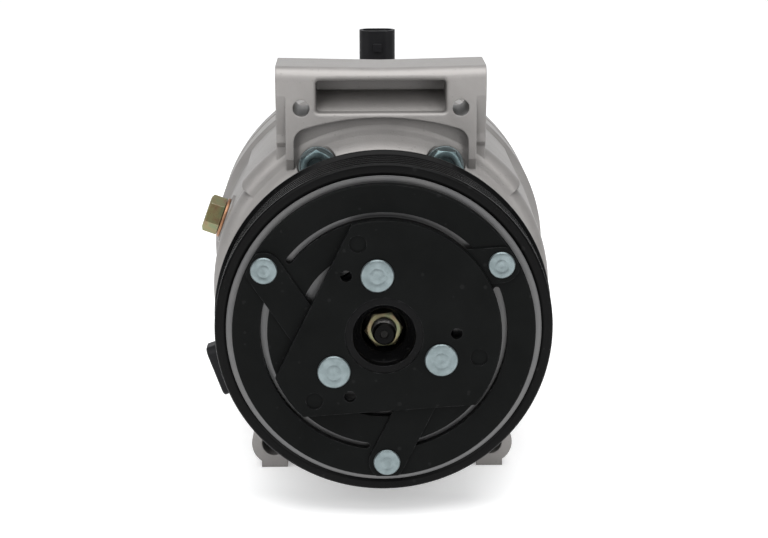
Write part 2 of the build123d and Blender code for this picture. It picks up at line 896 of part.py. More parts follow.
def foot(side):
    """One bottom mounting foot: a long boss along Y with a flat pad below."""
    rear = foot_front + foot_length
    boss = bar(foot_radius, foot_front, rear, side * foot_x, foot_z)
    pad = block(side * foot_x - foot_pad_half_width, side * foot_x + foot_pad_half_width,
                foot_front, rear, foot_pad_z, foot_z)
    web = block(-foot_web_half_width, foot_web_half_width, foot_front, rear, 0, foot_web_height)
    slope = degrees(atan2(-side * foot_x, -foot_z))
    web = Pos(side * foot_x, 0, foot_z) * Rot(Y=slope) * web
    return boss + pad + web


def foot_hole(side):
    """The bolt hole through a foot."""
    return bar(foot_hole_radius, foot_front - 1, foot_front + foot_length + 1, side * foot_x, foot_z)


def shoulder(front, rear):
    """Thicker sector along the top of the castings, with rounded long edges."""
    half = radians(shoulder_half_angle)
    reach = shoulder_radius + 5
    sector = make_face(Polyline((0, 0), (reach * sin(half), reach * cos(half)), (reach, reach), (-reach, reach),
                                (-reach * sin(half), reach * cos(half)), close=True))
    body = tube(shoulder_radius, case_cavity_radius + shoulder_wall, front, rear)
    body = body & (Pos(0, rear, 0) * Rot(X=90) * extrude(sector, rear - front))
    long_edges = [edge for edge in body.edges().filter_by(Axis.Y)
                  if hypot(edge.center().X, edge.center().Z) > shoulder_radius - 0.1]
    return fillet(long_edges, shoulder_rounding)


def front_head():
    """Cast aluminium front head: nose, domed wall, top bar and the front ends of the feet."""
    body = turned(
        (nose_bore, nose_front),
        (bearing_bore / 2, nose_front, edge_break),
        (bearing_bore / 2, bearing_rear),
        (nose_shoulder_radius, bearing_rear),
        (nose_shoulder_radius, coil_seat_front),
        (coil_seat_radius, coil_seat_front, edge_break),
        (coil_seat_radius, head_wall_front),
        (head_wall_radius, head_wall_front, 2.0),
        (head_waist_radius, head_waist_front, head_shelf_blend),
        (head_shelf_radius, head_shelf_front, head_shelf_blend),
        (head_dome_radius, head_edge_front, head_edge_rounding),
        (head_dome_radius, head_rear - edge_break),
        (head_dome_radius - edge_break, head_rear),
        (case_cavity_radius, head_rear),
        (case_cavity_radius, swash_room_rear),
        (swash_room_radius, swash_room_front),
        (lug_room_radius, lug_room_rear, 2.0),
        (lug_room_radius, head_inner_face, 3.0),
        (needle_cup_outer + seat_gap, head_inner_face),
        (needle_cup_outer + seat_gap, front_needle_front - seat_gap),
        (nose_bore, front_needle_front - seat_gap),
    )
    body = body + (mounting_bar() - bar(case_cavity_radius + shoulder_wall, bar_front - 1, bar_front + bar_depth + 1))
    rounded_front = turned((case_cavity_radius + shoulder_wall, head_shelf_front),
                           (shoulder_radius, head_edge_front, head_edge_rounding),
                           (shoulder_radius, head_rear), (case_cavity_radius + shoulder_wall, head_rear))
    body = body + (shoulder(head_shelf_front - 1, head_rear) & rounded_front)
    front_feet = bar_front + bar_depth
    for side in (-1, 1):
        piece = foot(side) & block(-100, 100, foot_front - 1, head_rear, -100, 0)
        body = body + (piece - bar(case_cavity_radius + shoulder_wall, foot_front - 2, front_feet))
    for x, z in bolt_places():
        body = body - bar(bolt_spotface_radius, head_wall_front, bolt_seat, x, z)
        body = body - bar(bolt_hole_radius, bolt_seat - 1, head_rear + 1, x, z)
    body = cut_all(body, bar_holes())
    body = cut_all(body, [foot_hole(-1), foot_hole(1)])
    x, z = place(guide_pin_pitch_radius, -90)
    body = body - bar(guide_pin_radius + seat_gap, guide_pin_front, head_rear + 1, x, z)
    ring_front = bearing_front - snap_ring_thickness - seat_gap
    body = body - tube(bearing_bore / 2 + 1, bearing_bore / 2 - snap_ring_depth, ring_front, bearing_front)
    body = body - tube(o_ring_circle + o_ring_radius, o_ring_circle - o_ring_radius,
                       head_rear - 2 * o_ring_radius, head_rear + 1)
    behind = bar(shoulder_radius + loose_gap, head_rear, bar_front + bar_depth + 1)
    return body - behind


def shaft_seal():
    """Lip seal around the shaft, in the nose."""
    inner = shaft_seal_radius + running_gap
    outer = nose_bore - seat_gap
    rear = shaft_seal_front + shaft_seal_length
    return turned(
        (inner, shaft_seal_front + seal_lip_length, edge_break), (inner + seal_lip_rise, shaft_seal_front),
        (outer, shaft_seal_front), (outer, rear), (inner, rear))


def seal_retainer():
    """Retaining ring in front of the shaft seal."""
    return split_ring(nose_bore - seat_gap, hub_boss_radius + retainer_clearance, shaft_seal_front - seal_retainer_thickness,
                      shaft_seal_front - seat_gap, snap_ring_mouth, 90)


def needle_cups():
    """Outer cups of the two shaft bearings, one in the front head and one in the cylinder block."""
    return group([tube(needle_cup_outer, needle_cup_inner, start, start + needle_cup_length)
                  for start in (front_needle_front, rear_needle_front)])


def needle_rollers():
    """The rollers of both shaft bearings."""
    rollers = []
    inset = (needle_cup_length - needle_length) / 2
    for start in (front_needle_front, rear_needle_front):
        roller = bar(needle_radius, start + inset, start + inset + needle_length, needle_pitch_radius)
        rollers += ring_of(roller, needle_count)
    return group(rollers)


def thrust_rollers():
    """Rollers between the front head and the lug plate, which take the piston thrust."""
    middle = (head_inner_face + lug_front) / 2
    roller = Pos(thrust_roller_pitch_radius, middle, 0) * Rot(Y=90) * Cylinder(
        thrust_roller_radius, thrust_roller_length)
    return group(ring_of(roller, thrust_roller_count))


# ---- shaft, lug plate and swash ---------------------------------------------------------------------------------------------------------------
shaft_tip = driver_front + stub_tip_behind_driver
shaft_end = rear_needle_front + needle_cup_length + 2


def drive_shaft():
    """Turned steel shaft with a threaded stub, a keyed seat for the hub and bearing journals."""
    outline = [(0, shaft_tip), (thread_radius - machined_break, shaft_tip), (thread_radius, shaft_tip + machined_break)]
    thread_end = nut_seat + hub_web / 2
    turns = int((thread_end - shaft_tip - thread_start - thread_depth) / thread_pitch)
    for k in range(turns):
        start = shaft_tip + thread_start + k * thread_pitch
        outline += [
            (thread_radius, start),
            (thread_radius - thread_depth, start + thread_pitch / 2),
            (thread_radius, start + thread_pitch - thread_land),
        ]
    outline += [
        (thread_radius, nut_seat + hub_web),
        (shaft_hub_radius, nut_seat + hub_web + edge_break),
        (shaft_hub_radius, hub_boss_end + edge_break),
        (shaft_seal_radius, hub_boss_end + turned_break),
        (shaft_seal_radius, front_needle_front - edge_break),
        (shaft_radius, front_needle_front),
        (shaft_radius, shaft_end - turned_break),
        (shaft_radius - turned_break, shaft_end),
        (0, shaft_end),
    ]
    shaft = turned(*outline)
    slot = block(-key_width / 2 - seat_gap, key_width / 2 + seat_gap,
                 hub_boss_end - key_length - seat_gap, hub_boss_end + seat_gap,
                 shaft_hub_radius - key_depth - seat_gap, shaft_radius + 2)
    return shaft - slot


def tilted(shape, tilt):
    """The shape turned about the swash centre, with its top towards the rear."""
    return Pos(0, swash_centre, 0) * Rot(X=-tilt) * Pos(0, -swash_centre, 0) * shape


def lug_plate():
    """Drive plate pressed on the shaft, with two ears that lead the swash hub's pin."""
    plate = turned(
        (shaft_radius + seat_gap, lug_front),
        (lug_radius, lug_front, lug_rounding),
        (lug_radius, lug_front + lug_thickness, lug_rounding),
        (shaft_radius + seat_gap, lug_front + lug_thickness),
    )
    inner = link_arm_half_width + loose_gap
    ear_rear = swash_centre - swash_half_length
    for side in (-1, 1):
        low, high = sorted((side * inner, side * (inner + link_ear_thickness)))
        ear = block(low, high, lug_front + 2, ear_rear, link_pin_z - lug_ear_below, link_pin_z + lug_ear_above)
        plate = plate + ear
    reach = hypot(swash_centre - link_pin_y, link_pin_z)
    turn = swash_tilt_max + 2 * link_slot_overrun
    for step in range(link_slot_steps + 1):
        tilt = turn * step / link_slot_steps - link_slot_overrun
        pin_hole = Pos(0, link_pin_y, link_pin_z) * Rot(Y=90) * Cylinder(link_pin_radius + loose_gap, 4 * lug_radius)
        plate = plate - tilted(pin_hole, tilt)
    section = Plane.XZ * Pos(0, reach) * Rectangle(4 * lug_radius, 2 * (link_pin_radius + loose_gap))
    start = degrees(atan2(swash_centre - link_pin_y, link_pin_z))
    slot = Pos(0, swash_centre, 0) * Rot(X=start + link_slot_overrun) * revolve(section, Axis.X, -turn)
    return plate - slot


def hinge_ball():
    """Ball sleeve on the shaft that the swash hub tilts on."""
    ball = Pos(0, swash_centre, 0) * Sphere(hinge_ball_radius)
    ball = ball & bar(hinge_ball_radius + 1, swash_centre - hinge_ball_half_length,
                      swash_centre + hinge_ball_half_length)
    return ball - bar(shaft_radius + seat_gap, swash_centre - hinge_ball_radius, swash_centre + hinge_ball_radius)


def swash_hub():
    """Hub that tilts on the ball and turns with the shaft; its arm carries the link pin."""
    front = swash_centre - swash_half_length
    rear = swash_centre + swash_half_length
    plate_front = swash_centre - wobble_half_thickness - loose_gap
    body = turned(
        (swash_bore_land, front + swash_bore_flare),
        (swash_bore_mouth, front),
        (swash_flange_radius, front, machined_break),
        (swash_flange_radius, plate_front),
        (swash_hub_radius, plate_front),
        (swash_hub_radius, rear, machined_break),
        (swash_bore_mouth, rear),
        (swash_bore_land, rear - swash_bore_flare),
    )
    arm_half = link_arm_half_width
    arm = block(-arm_half, arm_half, link_pin_y - link_arm_reach, front + 2,
                link_pin_z - link_arm_reach, link_pin_z + link_arm_reach)
    arm = fillet(arm.edges().filter_by(Axis.X).group_by(Axis.Y)[0], link_arm_rounding)
    pin = Pos(0, link_pin_y, link_pin_z) * Rot(Y=90) * Cylinder(
        link_pin_radius, 2 * (link_arm_half_width + loose_gap + link_ear_thickness))
    body = body + arm + pin
    return body - Pos(0, swash_centre, 0) * Sphere(hinge_ball_radius + running_gap)


wobble_hole_radius = (
    rod_ball_radius / cos(radians(swash_tilt_max))
    + wobble_half_thickness * tan(radians(swash_tilt_max))
    + cylinder_pitch_radius * (1 - cos(radians(swash_tilt_max)))
    + loose_gap
)


def wobble_plate():
    """Plate that rocks with the swash without turning, with an open seat for each rod."""
    front = swash_centre - wobble_half_thickness
    rear = swash_centre + wobble_half_thickness
    inner = swash_hub_radius + running_gap
    plate = turned(
        (inner, front), (wobble_radius, front, wobble_rounding), (wobble_radius, rear, wobble_rounding),
        (inner, rear))
    for angle in piston_angles:
        x, z = place(cylinder_pitch_radius, angle)
        plate = plate - bar(wobble_hole_radius, front - 1, rear + 1, x, z)
    notch_half = guide_pin_radius + guide_notch_side
    notch_depth = guide_pin_pitch_radius - guide_pin_radius - guide_notch_floor
    return plate - block(-notch_half, notch_half, front - 1, rear + 1, -wobble_radius - 5, -notch_depth)


def guide_pin():
    """Fixed pin along the bottom of the case, which keeps the wobble plate from turning."""
    x, z = place(guide_pin_pitch_radius, -90)
    return bar(guide_pin_radius, guide_pin_front + seat_gap, block_front + guide_pin_seat, x, z)


def destroke_spring():
    """Coil spring around the shaft, which pushes the swash back to its least stroke."""
    start = lug_front + lug_thickness + spring_wire + spring_end_gap
    end = swash_centre - hinge_ball_half_length - spring_wire - spring_end_gap
    radius = shaft_radius + spring_wire + spring_bore_gap
    pitch = (end - start) / spring_turns
    path = Helix(pitch, end - start, radius, center=(0, start, 0), direction=(0, 1, 0))
    section = Plane(origin=path @ 0, z_dir=path % 0) * Circle(spring_wire)
    return sweep(section, path, is_frenet=True)


# ---- pistons and cylinder block --------------------------------------------------------------------------------------------------------------------
piston_angles = [first_piston_angle + 360 * k / piston_count for k in range(piston_count)]
rod_seat = piston_front + piston_length - piston_crown - rod_ball_radius


def piston(angle):
    """Aluminium piston, open to the front, with a seal groove near its crown."""
    rear = piston_front + piston_length
    radius = cylinder_bore - running_gap
    skirt_bore = radius - piston_wall
    groove = rear - piston_groove_offset
    body = turned(
        (skirt_bore, piston_front), (radius, piston_front, turned_break), (radius, groove),
        (radius - piston_groove_depth, groove), (radius - piston_groove_depth, groove + piston_groove_width),
        (radius, groove + piston_groove_width), (radius, rear, turned_break), (0, rear),
        (0, rod_seat + rod_ball_radius + seat_gap), (rod_ball_radius + piston_wall, rod_seat + piston_boss_rise),
        (skirt_bore, rod_seat - piston_boss_slope),
    )
    body = body - Pos(0, rod_seat, 0) * Sphere(rod_ball_radius + running_gap)
    x, z = place(cylinder_pitch_radius, angle)
    return Pos(x, 0, z) * body


def piston_rod(angle):
    """Steel rod with a ball at each end."""
    body = bar(rod_radius, swash_centre, rod_seat)
    for end in (swash_centre, rod_seat):
        body = body + Pos(0, end, 0) * Sphere(rod_ball_radius)
    x, z = place(cylinder_pitch_radius, angle)
    return Pos(x, 0, z) * body


def drain_place():
    """The frame of the drain plug: local +X leaves the shaft radially."""
    return Pos(0, drain_y, 0) * Rot(Y=-drain_angle)


def cylinder_block():
    """Cast aluminium case and cylinder block in one piece."""
    front = head_rear + seat_gap
    body = turned(
        (case_cavity_radius, front),
        (case_radius - machined_break, front),
        (case_radius, front + machined_break),
        (case_radius + case_draft, block_flange_front - block_flange_slope, block_flange_slope),
        (block_flange_radius, block_flange_front, case_draft),
        (block_flange_radius, block_rear, machined_break),
        (needle_cup_outer + seat_gap, block_rear),
        (needle_cup_outer + seat_gap, rear_needle_front),
        (shaft_radius + 2, rear_needle_front),
        (shaft_radius + 2, block_front),
        (case_cavity_radius, block_front),
    )
    cavity = bar(case_cavity_radius, front - 1, block_front)
    body = body + shoulder(front, block_flange_front)
    for side in (-1, 1):
        piece = foot(side) & block(-100, 100, front, foot_front + foot_length + 1, -100, 0)
        body = body + (piece - cavity)
    boss = drain_place() * Rot(Y=90) * Cylinder(
        drain_boss_radius, drain_boss_face, align=(Align.CENTER, Align.CENTER, Align.MIN))
    body = body + (boss - cavity)
    hole = drain_place() * Rot(Y=90) * Cylinder(
        drain_thread_radius + seat_gap, drain_boss_face + 5, align=(Align.CENTER, Align.CENTER, Align.MIN))
    body = body - (hole & drain_place() * block(30, 100, -20, 20, -20, 20))
    for angle in piston_angles:
        x, z = place(cylinder_pitch_radius, angle)
        body = body - bar(cylinder_bore, block_front - 1, block_rear + 1, x, z)
    for x, z in bolt_places():
        body = body - bar(bolt_hole_radius, front - 1, block_rear + 1, x, z)
    body = cut_all(body, [foot_hole(-1), foot_hole(1)])
    x, z = place(guide_pin_pitch_radius, -90)
    return body - bar(guide_pin_radius + seat_gap, block_front - 1, block_front + guide_pin_seat + seat_gap, x, z)


# ---- valve plate and rear head ---------------------------------------------------------------------------------------------------------------------------
suction_reed_front = block_rear + seat_gap
valve_plate_front = suction_reed_front + reed_thickness + seat_gap
discharge_reed_front = valve_plate_front + valve_plate_thickness + seat_gap
rear_head_front = discharge_reed_front + reed_thickness + seat_gap
rear_head_rear = rear_head_front + rear_head_length
valve_port_radius = 3.0
suction_port_shift = 8.0
discharge_port_shift = -14.0


def plate_holes(front, rear):
    """Bolt holes through a thin plate."""
    return [bar(bolt_hole_radius, front - 1, rear + 1, x, z) for x, z in bolt_places()]


def reed_sheet(front, tongue_shift):
    """Thin spring-steel sheet with a tongue cut free over each cylinder."""
    rear = front + reed_thickness
    sheet = bar(valve_plate_radius, front, rear)
    sheet = cut_all(sheet, plate_holes(front, rear))
    for angle in piston_angles:
        window = arc_slot(cylinder_pitch_radius + tongue_shift, 1.2, -8, 8, front - 1, rear + 1)
        sheet = sheet - spun(window, angle)
    return sheet


def suction_reeds():
    """Suction reeds, in front of the valve plate."""
    return reed_sheet(suction_reed_front, -suction_port_shift)


def discharge_reeds():
    """Discharge reeds, behind the valve plate."""
    return reed_sheet(discharge_reed_front, suction_port_shift)


def valve_plate():
    """Steel plate with a suction and a discharge port for each cylinder."""
    rear = valve_plate_front + valve_plate_thickness
    plate = bar(valve_plate_radius, valve_plate_front, rear)
    plate = cut_all(plate, plate_holes(valve_plate_front, rear))
    for angle in piston_angles:
        for shift in (suction_port_shift, discharge_port_shift):
            x, z = place(cylinder_pitch_radius + shift, angle)
            plate = plate - bar(valve_port_radius, valve_plate_front - 1, rear + 1, x, z)
    return plate


def rear_head():
    """Cast aluminium rear head: discharge chamber in the middle, suction ring around it, port pad behind."""
    body = turned(
        (0, rear_head_front),
        (rear_head_radius, rear_head_front, machined_break),
        (rear_head_radius, rear_head_front + rear_rim_length, 3.0),
        (rear_step_radius, rear_head_front + rear_step_length, rear_step_rounding),
        (rear_face_radius, rear_head_rear, rear_face_rounding),
        (0, rear_head_rear),
    )
    pad = block(-port_pad_half_width, port_pad_half_width, rear_head_front + rear_pad_root, rear_head_rear + port_pad_rise,
                port_pad_low, port_pad_high)
    body = body + fillet(pad.edges().filter_by(Axis.Y), port_pad_corner)
    boss = Pos(0, switch_y, 0) * Cylinder(
        switch_boss_radius, switch_boss_face, align=(Align.CENTER, Align.CENTER, Align.MIN))
    body = body + (boss & block(-switch_boss_radius, switch_boss_radius, rear_head_front, rear_head_rear,
                                chamber_outer_radius + chamber_wall, switch_boss_face))
    valve_boss = bar(control_valve_radius + control_boss_wall, rear_head_front + rear_pad_root,
                     rear_head_rear + control_boss_rise, 0, control_valve_z)
    relief_boss = bar(relief_valve_radius + relief_boss_wall, rear_head_front + rear_pad_root,
                      rear_head_rear + relief_boss_rise,
                      relief_valve_x, relief_valve_z)
    body = body + fillet(valve_boss.edges().group_by(Axis.Y)[-1], control_boss_rounding) + relief_boss
    body = body - bar(discharge_radius, rear_head_front - 1, rear_head_front + chamber_depth)
    suction = tube(chamber_outer_radius, discharge_radius + chamber_wall, rear_head_front - 1,
                   rear_head_front + suction_depth)
    body = body - suction
    pad_face = rear_head_rear + port_pad_rise
    passage = Rot(Y=90) * Cylinder(discharge_passage_radius, hypot(port_x, port_z),
                                   align=(Align.CENTER, Align.CENTER, Align.MIN))
    passage_y = rear_head_front + chamber_depth + discharge_passage_radius - passage_overlap
    body = body - Pos(0, passage_y, 0) * spun(passage, degrees(atan2(port_z, -port_x)))
    body = body - bar(suction_port_radius, rear_head_front + suction_port_floor, pad_face + 1, port_x, port_z)
    body = body - bar(discharge_port_radius, rear_head_front + discharge_port_floor, pad_face + 1, -port_x, port_z)
    body = body - bar(port_bolt_radius, pad_face - port_bolt_depth, pad_face + 1, 0, port_z)
    body = body - bar(control_valve_radius + seat_gap, rear_head_front + control_valve_floor,
                      rear_head_rear + control_boss_rise + 1, 0, control_valve_z)
    body = body - bar(relief_valve_radius + seat_gap, rear_head_front + relief_valve_floor, rear_head_rear + relief_boss_rise + 1,
                      relief_valve_x, relief_valve_z)
    body = body - Pos(0, switch_y, switch_boss_face + 1) * Cylinder(
        switch_thread_radius + seat_gap, switch_thread_length + 3, align=(Align.CENTER, Align.CENTER, Align.MAX))
    for x, z in bolt_places():
        body = body - bar(bolt_radius + seat_gap, rear_head_front - 1, rear_head_front + bolt_thread_in_head, x, z)
    return body


def control_valve():
    """Displacement control valve: a stepped cartridge with a seal groove and a dished cap."""
    front = rear_head_front + rear_pad_root
    rear = rear_head_rear + control_boss_rise - control_cap_recess
    radius = control_valve_radius
    nose = radius - control_nose_step
    waist = radius - control_groove_depth
    body = turned(
        (0, front),
        (nose, front),
        (nose, front + control_nose_length),
        (radius, front + control_nose_length),
        (radius, front + control_groove_front),
        (waist, front + control_groove_front),
        (waist, front + control_groove_rear),
        (radius, front + control_groove_rear),
        (radius, rear, control_groove_depth),
        (control_nose_length, rear, edge_break),
        (control_nose_length, rear - control_groove_depth),
        (0, rear - control_groove_depth),
    )
    return Pos(0, 0, control_valve_z) * body


def relief_valve():
    """High-pressure relief valve screwed into the rear head."""
    front = rear_head_front + rear_pad_root
    seat = rear_head_rear + relief_boss_rise
    rear = seat + relief_body_length
    neck = relief_valve_radius - machined_break
    body = turned(
        (0, front),
        (relief_valve_radius, front),
        (relief_valve_radius, seat),
        (neck, seat),
        (neck, rear, machined_break),
        (relief_outlet_radius, rear),
        (relief_outlet_radius, rear - relief_outlet_depth),
        (0, rear - relief_outlet_depth),
    )
    body = body + hexagon(relief_valve_across_flats, seat + seat_gap, seat + relief_hex_length)
    return Pos(relief_valve_x, 0, relief_valve_z) * body


def case_o_ring():
    """O-ring in the joint between the front head and the cylinder block."""
    return revolve(Pos(o_ring_circle, head_rear - o_ring_radius) * Circle(o_ring_radius - seat_gap), Axis.Y)


# ---- fasteners and fittings --------------------------------------------------------------------------------------------------------------------------------
def through_bolt():
    """Long hexagon bolt on the shaft axis, from the front head into the rear head."""
    seat = bolt_seat - bolt_washer_thickness
    front = seat - bolt_head_height
    corner = bolt_head_across_flats / sqrt(3)
    head = hexagon(bolt_head_across_flats, front, seat) & turned(
        (0, front), (bolt_head_across_flats / 2, front), (corner, front + 0.7), (corner, seat), (0, seat))
    return head + bar(bolt_radius, seat - 1, rear_head_front + bolt_thread_in_head - 1)


def through_bolts():
    """The bolts that clamp the front head, the cylinder block and the rear head together."""
    return group([Pos(x, 0, z) * through_bolt() for x, z in bolt_places()])


def bolt_washers():
    """One washer under each bolt head."""
    washer = tube(bolt_washer_radius, bolt_radius + seat_gap, bolt_seat - bolt_washer_thickness, bolt_seat)
    return group([Pos(x, 0, z) * washer for x, z in bolt_places()])


def drain_plug():
    """Oil drain plug with a hexagon head."""
    seat = drain_boss_face + drain_washer_thickness
    prism = extrude(RegularPolygon(drain_across_flats / 2, 6, major_radius=False), drain_head_height)
    corner = drain_across_flats / sqrt(3)
    dome = Cylinder(corner, drain_head_height, align=(Align.CENTER, Align.CENTER, Align.MIN))
    dome = chamfer(dome.edges().group_by(Axis.Z)[-1], 0.9)
    head = Pos(seat, 0, 0) * Rot(Y=90) * (prism & dome)
    thread = Rot(Y=90) * Pos(0, 0, seat - drain_thread_length) * Cylinder(
        drain_thread_radius, drain_thread_length + 1, align=(Align.CENTER, Align.CENTER, Align.MIN))
    return drain_place() * (head + thread)


def drain_washer():
    """Copper washer under the drain plug."""
    ring = Cylinder(drain_washer_radius, drain_washer_thickness, align=(Align.CENTER, Align.CENTER, Align.MIN))
    ring = ring - Cylinder(drain_thread_radius + seat_gap, 3 * drain_washer_thickness)
    return drain_place() * Pos(drain_boss_face, 0, 0) * Rot(Y=90) * ring


def pressure_switch():
    """Hexagon body of the pressure switch, screwed into the rear head."""
    prism = extrude(RegularPolygon(switch_across_flats / 2, 6, major_radius=False), switch_body_height)
    thread = Cylinder(switch_thread_radius, switch_thread_length,
                      align=(Align.CENTER, Align.CENTER, Align.MAX))
    return Pos(0, switch_y, switch_boss_face) * (chamfer(prism.edges().group_by(Axis.Z)[-1], 0.5) + thread)


def switch_connector():
    """Moulded oval socket on top of the pressure switch, with a latch nub on its front."""
    base = switch_boss_face + switch_body_height
    height = switch_top - base
    outer = extrude(RectangleRounded(2 * shroud_half_width, 2 * shroud_half_depth, shroud_half_depth - 0.6), height)
    inner = extrude(RectangleRounded(2 * (shroud_half_width - shroud_wall), 2 * (shroud_half_depth - shroud_wall),
                                     shroud_half_depth - shroud_wall - 0.6), height)
    shell = outer - Pos(0, 0, shroud_floor) * inner
    nub = block(-latch_half_width, latch_half_width, -shroud_half_depth - latch_rise, -shroud_half_depth + 0.6,
                height - 9.5, height - 6.0)
    shell = shell + nub
    for side in (-1, 1):
        slot = block(-pin_half_width - seat_gap, pin_half_width + seat_gap,
                     -pin_half_depth - seat_gap, pin_half_depth + seat_gap, 1.0, shroud_floor + 1)
        shell = shell - Pos(side * terminal_half_spacing, 0, 0) * slot
    return Pos(0, switch_y, base) * shell


def switch_pins():
    """Two contact pins in the switch's socket."""
    base = switch_boss_face + switch_body_height
    pins = [Pos(side * terminal_half_spacing, switch_y, base) * block(
        -pin_half_width, pin_half_width, -pin_half_depth, pin_half_depth, 1.0 + seat_gap, switch_top - base - 3.0)
        for side in (-1, 1)]
    return group(pins)


nodes = {
    "armature_plate": armature_plate(),
    "outer_rivets": outer_rivets(),
    "leaf_springs": leaf_springs(),
    "inner_rivets": inner_rivets(),
    "driver_plate": driver_plate(),
    "stop_bumpers": stop_bumpers(),
    "clutch_hub": clutch_hub(),
    "shaft_nut": shaft_nut(),
    "drive_key": drive_key(),
    "pulley_rim": pulley_rim(),
    "rotor": rotor(),
    "rotor_snap_ring": rotor_snap_ring(),
    "bearing_outer_race": bearing_outer_race(),
    "bearing_inner_race": bearing_inner_race(),
    "bearing_balls": bearing_balls(),
    "bearing_seals": bearing_seals(),
    "bearing_snap_ring": bearing_snap_ring(),
    "coil_housing": coil_housing(),
    "coil_winding": coil_winding(),
    "coil_potting": coil_potting(),
    "coil_connector": coil_connector(),
    "coil_terminals": coil_terminals(),
    "front_head": front_head(),
    "shaft_seal": shaft_seal(),
    "seal_retainer": seal_retainer(),
    "needle_cups": needle_cups(),
    "needle_rollers": needle_rollers(),
    "thrust_rollers": thrust_rollers(),
    "drive_shaft": drive_shaft(),
    "lug_plate": lug_plate(),
    "hinge_ball": hinge_ball(),
    "swash_hub": swash_hub(),
    "wobble_plate": wobble_plate(),
    "guide_pin": guide_pin(),
    "destroke_spring": destroke_spring(),
    "cylinder_block": cylinder_block(),
    "case_o_ring": case_o_ring(),
    "suction_reeds": suction_reeds(),
    "valve_plate": valve_plate(),
    "discharge_reeds": discharge_reeds(),
    "rear_head": rear_head(),
    "control_valve": control_valve(),
    "relief_valve": relief_valve(),
    "through_bolts": through_bolts(),
    "bolt_washers": bolt_washers(),
    "drain_plug": drain_plug(),
    "drain_washer": drain_washer(),
    "pressure_switch": pressure_switch(),
    "switch_connector": switch_connector(),
    "switch_pins": switch_pins(),
}
for number, angle in enumerate(piston_angles, start=1):
    nodes[f"piston_{number}"] = piston(angle)
    nodes[f"piston_rod_{number}"] = piston_rod(angle)

os.makedirs("parts", exist_ok=True)
for name, shape in nodes.items():
    export_step(shape, f"parts/{name}.step")
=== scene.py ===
import math

import bpy
import numpy as np
from mathutils import Matrix, Vector


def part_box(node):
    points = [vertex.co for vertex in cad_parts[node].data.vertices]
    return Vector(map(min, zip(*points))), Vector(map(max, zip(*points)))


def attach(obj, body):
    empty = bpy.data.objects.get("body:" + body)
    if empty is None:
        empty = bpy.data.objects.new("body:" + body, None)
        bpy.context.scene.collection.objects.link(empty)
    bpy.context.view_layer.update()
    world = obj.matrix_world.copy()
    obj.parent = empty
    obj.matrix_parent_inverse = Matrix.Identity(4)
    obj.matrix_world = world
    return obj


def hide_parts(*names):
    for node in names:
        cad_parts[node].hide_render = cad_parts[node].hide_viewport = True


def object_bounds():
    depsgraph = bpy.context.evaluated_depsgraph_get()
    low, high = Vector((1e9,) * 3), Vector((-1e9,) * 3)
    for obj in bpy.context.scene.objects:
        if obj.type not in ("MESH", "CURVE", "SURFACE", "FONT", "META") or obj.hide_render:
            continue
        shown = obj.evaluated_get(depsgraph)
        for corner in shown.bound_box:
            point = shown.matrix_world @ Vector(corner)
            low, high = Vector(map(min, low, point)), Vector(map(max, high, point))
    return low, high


# Vehicle air-conditioning compressor with its electromagnetic clutch on the front. Metres, +Z up.
# The shaft is the Y axis, and the clutch faces -Y.
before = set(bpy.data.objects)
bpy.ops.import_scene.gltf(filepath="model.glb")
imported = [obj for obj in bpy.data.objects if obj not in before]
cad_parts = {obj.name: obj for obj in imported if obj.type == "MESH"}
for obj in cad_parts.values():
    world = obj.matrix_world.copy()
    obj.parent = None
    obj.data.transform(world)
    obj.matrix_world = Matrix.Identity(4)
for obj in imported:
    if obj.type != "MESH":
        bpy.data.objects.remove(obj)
cad_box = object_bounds()
mm = 0.001


# ---- Viewpoint ----------------------------------------------------------------------------------
# A long lens on a stand in front of the clutch, a little above the shaft, so that the plates are
# seen almost square on and the top bar and the case show behind the pulley.
lens_place = Vector((-10.8, -663.45, 192.08)) * mm
lens_target = Vector((0.08, -10.3, 24.3)) * mm
lens_roll = math.radians(-0.15)

camera = bpy.data.objects.new("camera", bpy.data.cameras.new("camera"))
camera.data.sensor_width = 36.0
camera.data.lens = 83.2
camera.data.clip_start = 0.02
camera.data.clip_end = 20.0
facing = (lens_target - lens_place).to_track_quat("-Z", "Y").to_matrix().to_4x4()
camera.matrix_world = Matrix.Translation(lens_place) @ facing @ Matrix.Rotation(lens_roll, 4, "Z")
bpy.context.scene.collection.objects.link(camera)
bpy.context.scene.camera = camera
bpy.context.scene.view_settings.view_transform = "Standard"


# ---- Bench and studio light ---------------------------------------------------------------------
# A pale matt bench top that curves up into a backdrop behind the unit. Three soft boxes and a pale
# sky light it: a large one above, one from the left front, and a weaker one from the right.
bench_height = cad_box[0][2] - 0.0002
bench_half = 3.0
bench_bend_start = 1.4
bench_bend = 0.9
bench_back_height = 3.0


def add(tree, kind, inputs=None, **properties):
    """One shader node. A socket given as an input is linked, and a plain value is set."""
    made = tree.nodes.new(kind)
    for name, value in properties.items():
        setattr(made, name, value)
    for name, value in (inputs or {}).items():
        if isinstance(value, bpy.types.NodeSocket):
            tree.links.new(value, made.inputs[name])
        else:
            made.inputs[name].default_value = value
    return made


def new_finish(name, **plain):
    """A material with its own shader, whose plain values are set on the shader's sockets."""
    material = bpy.data.materials.new(name)
    material.use_nodes = True
    shader = material.node_tree.nodes["Principled BSDF"]
    for socket, value in plain.items():
        shader.inputs[socket.replace("_", " ").title().replace("Ior", "IOR")].default_value = value
    return material, material.node_tree, shader


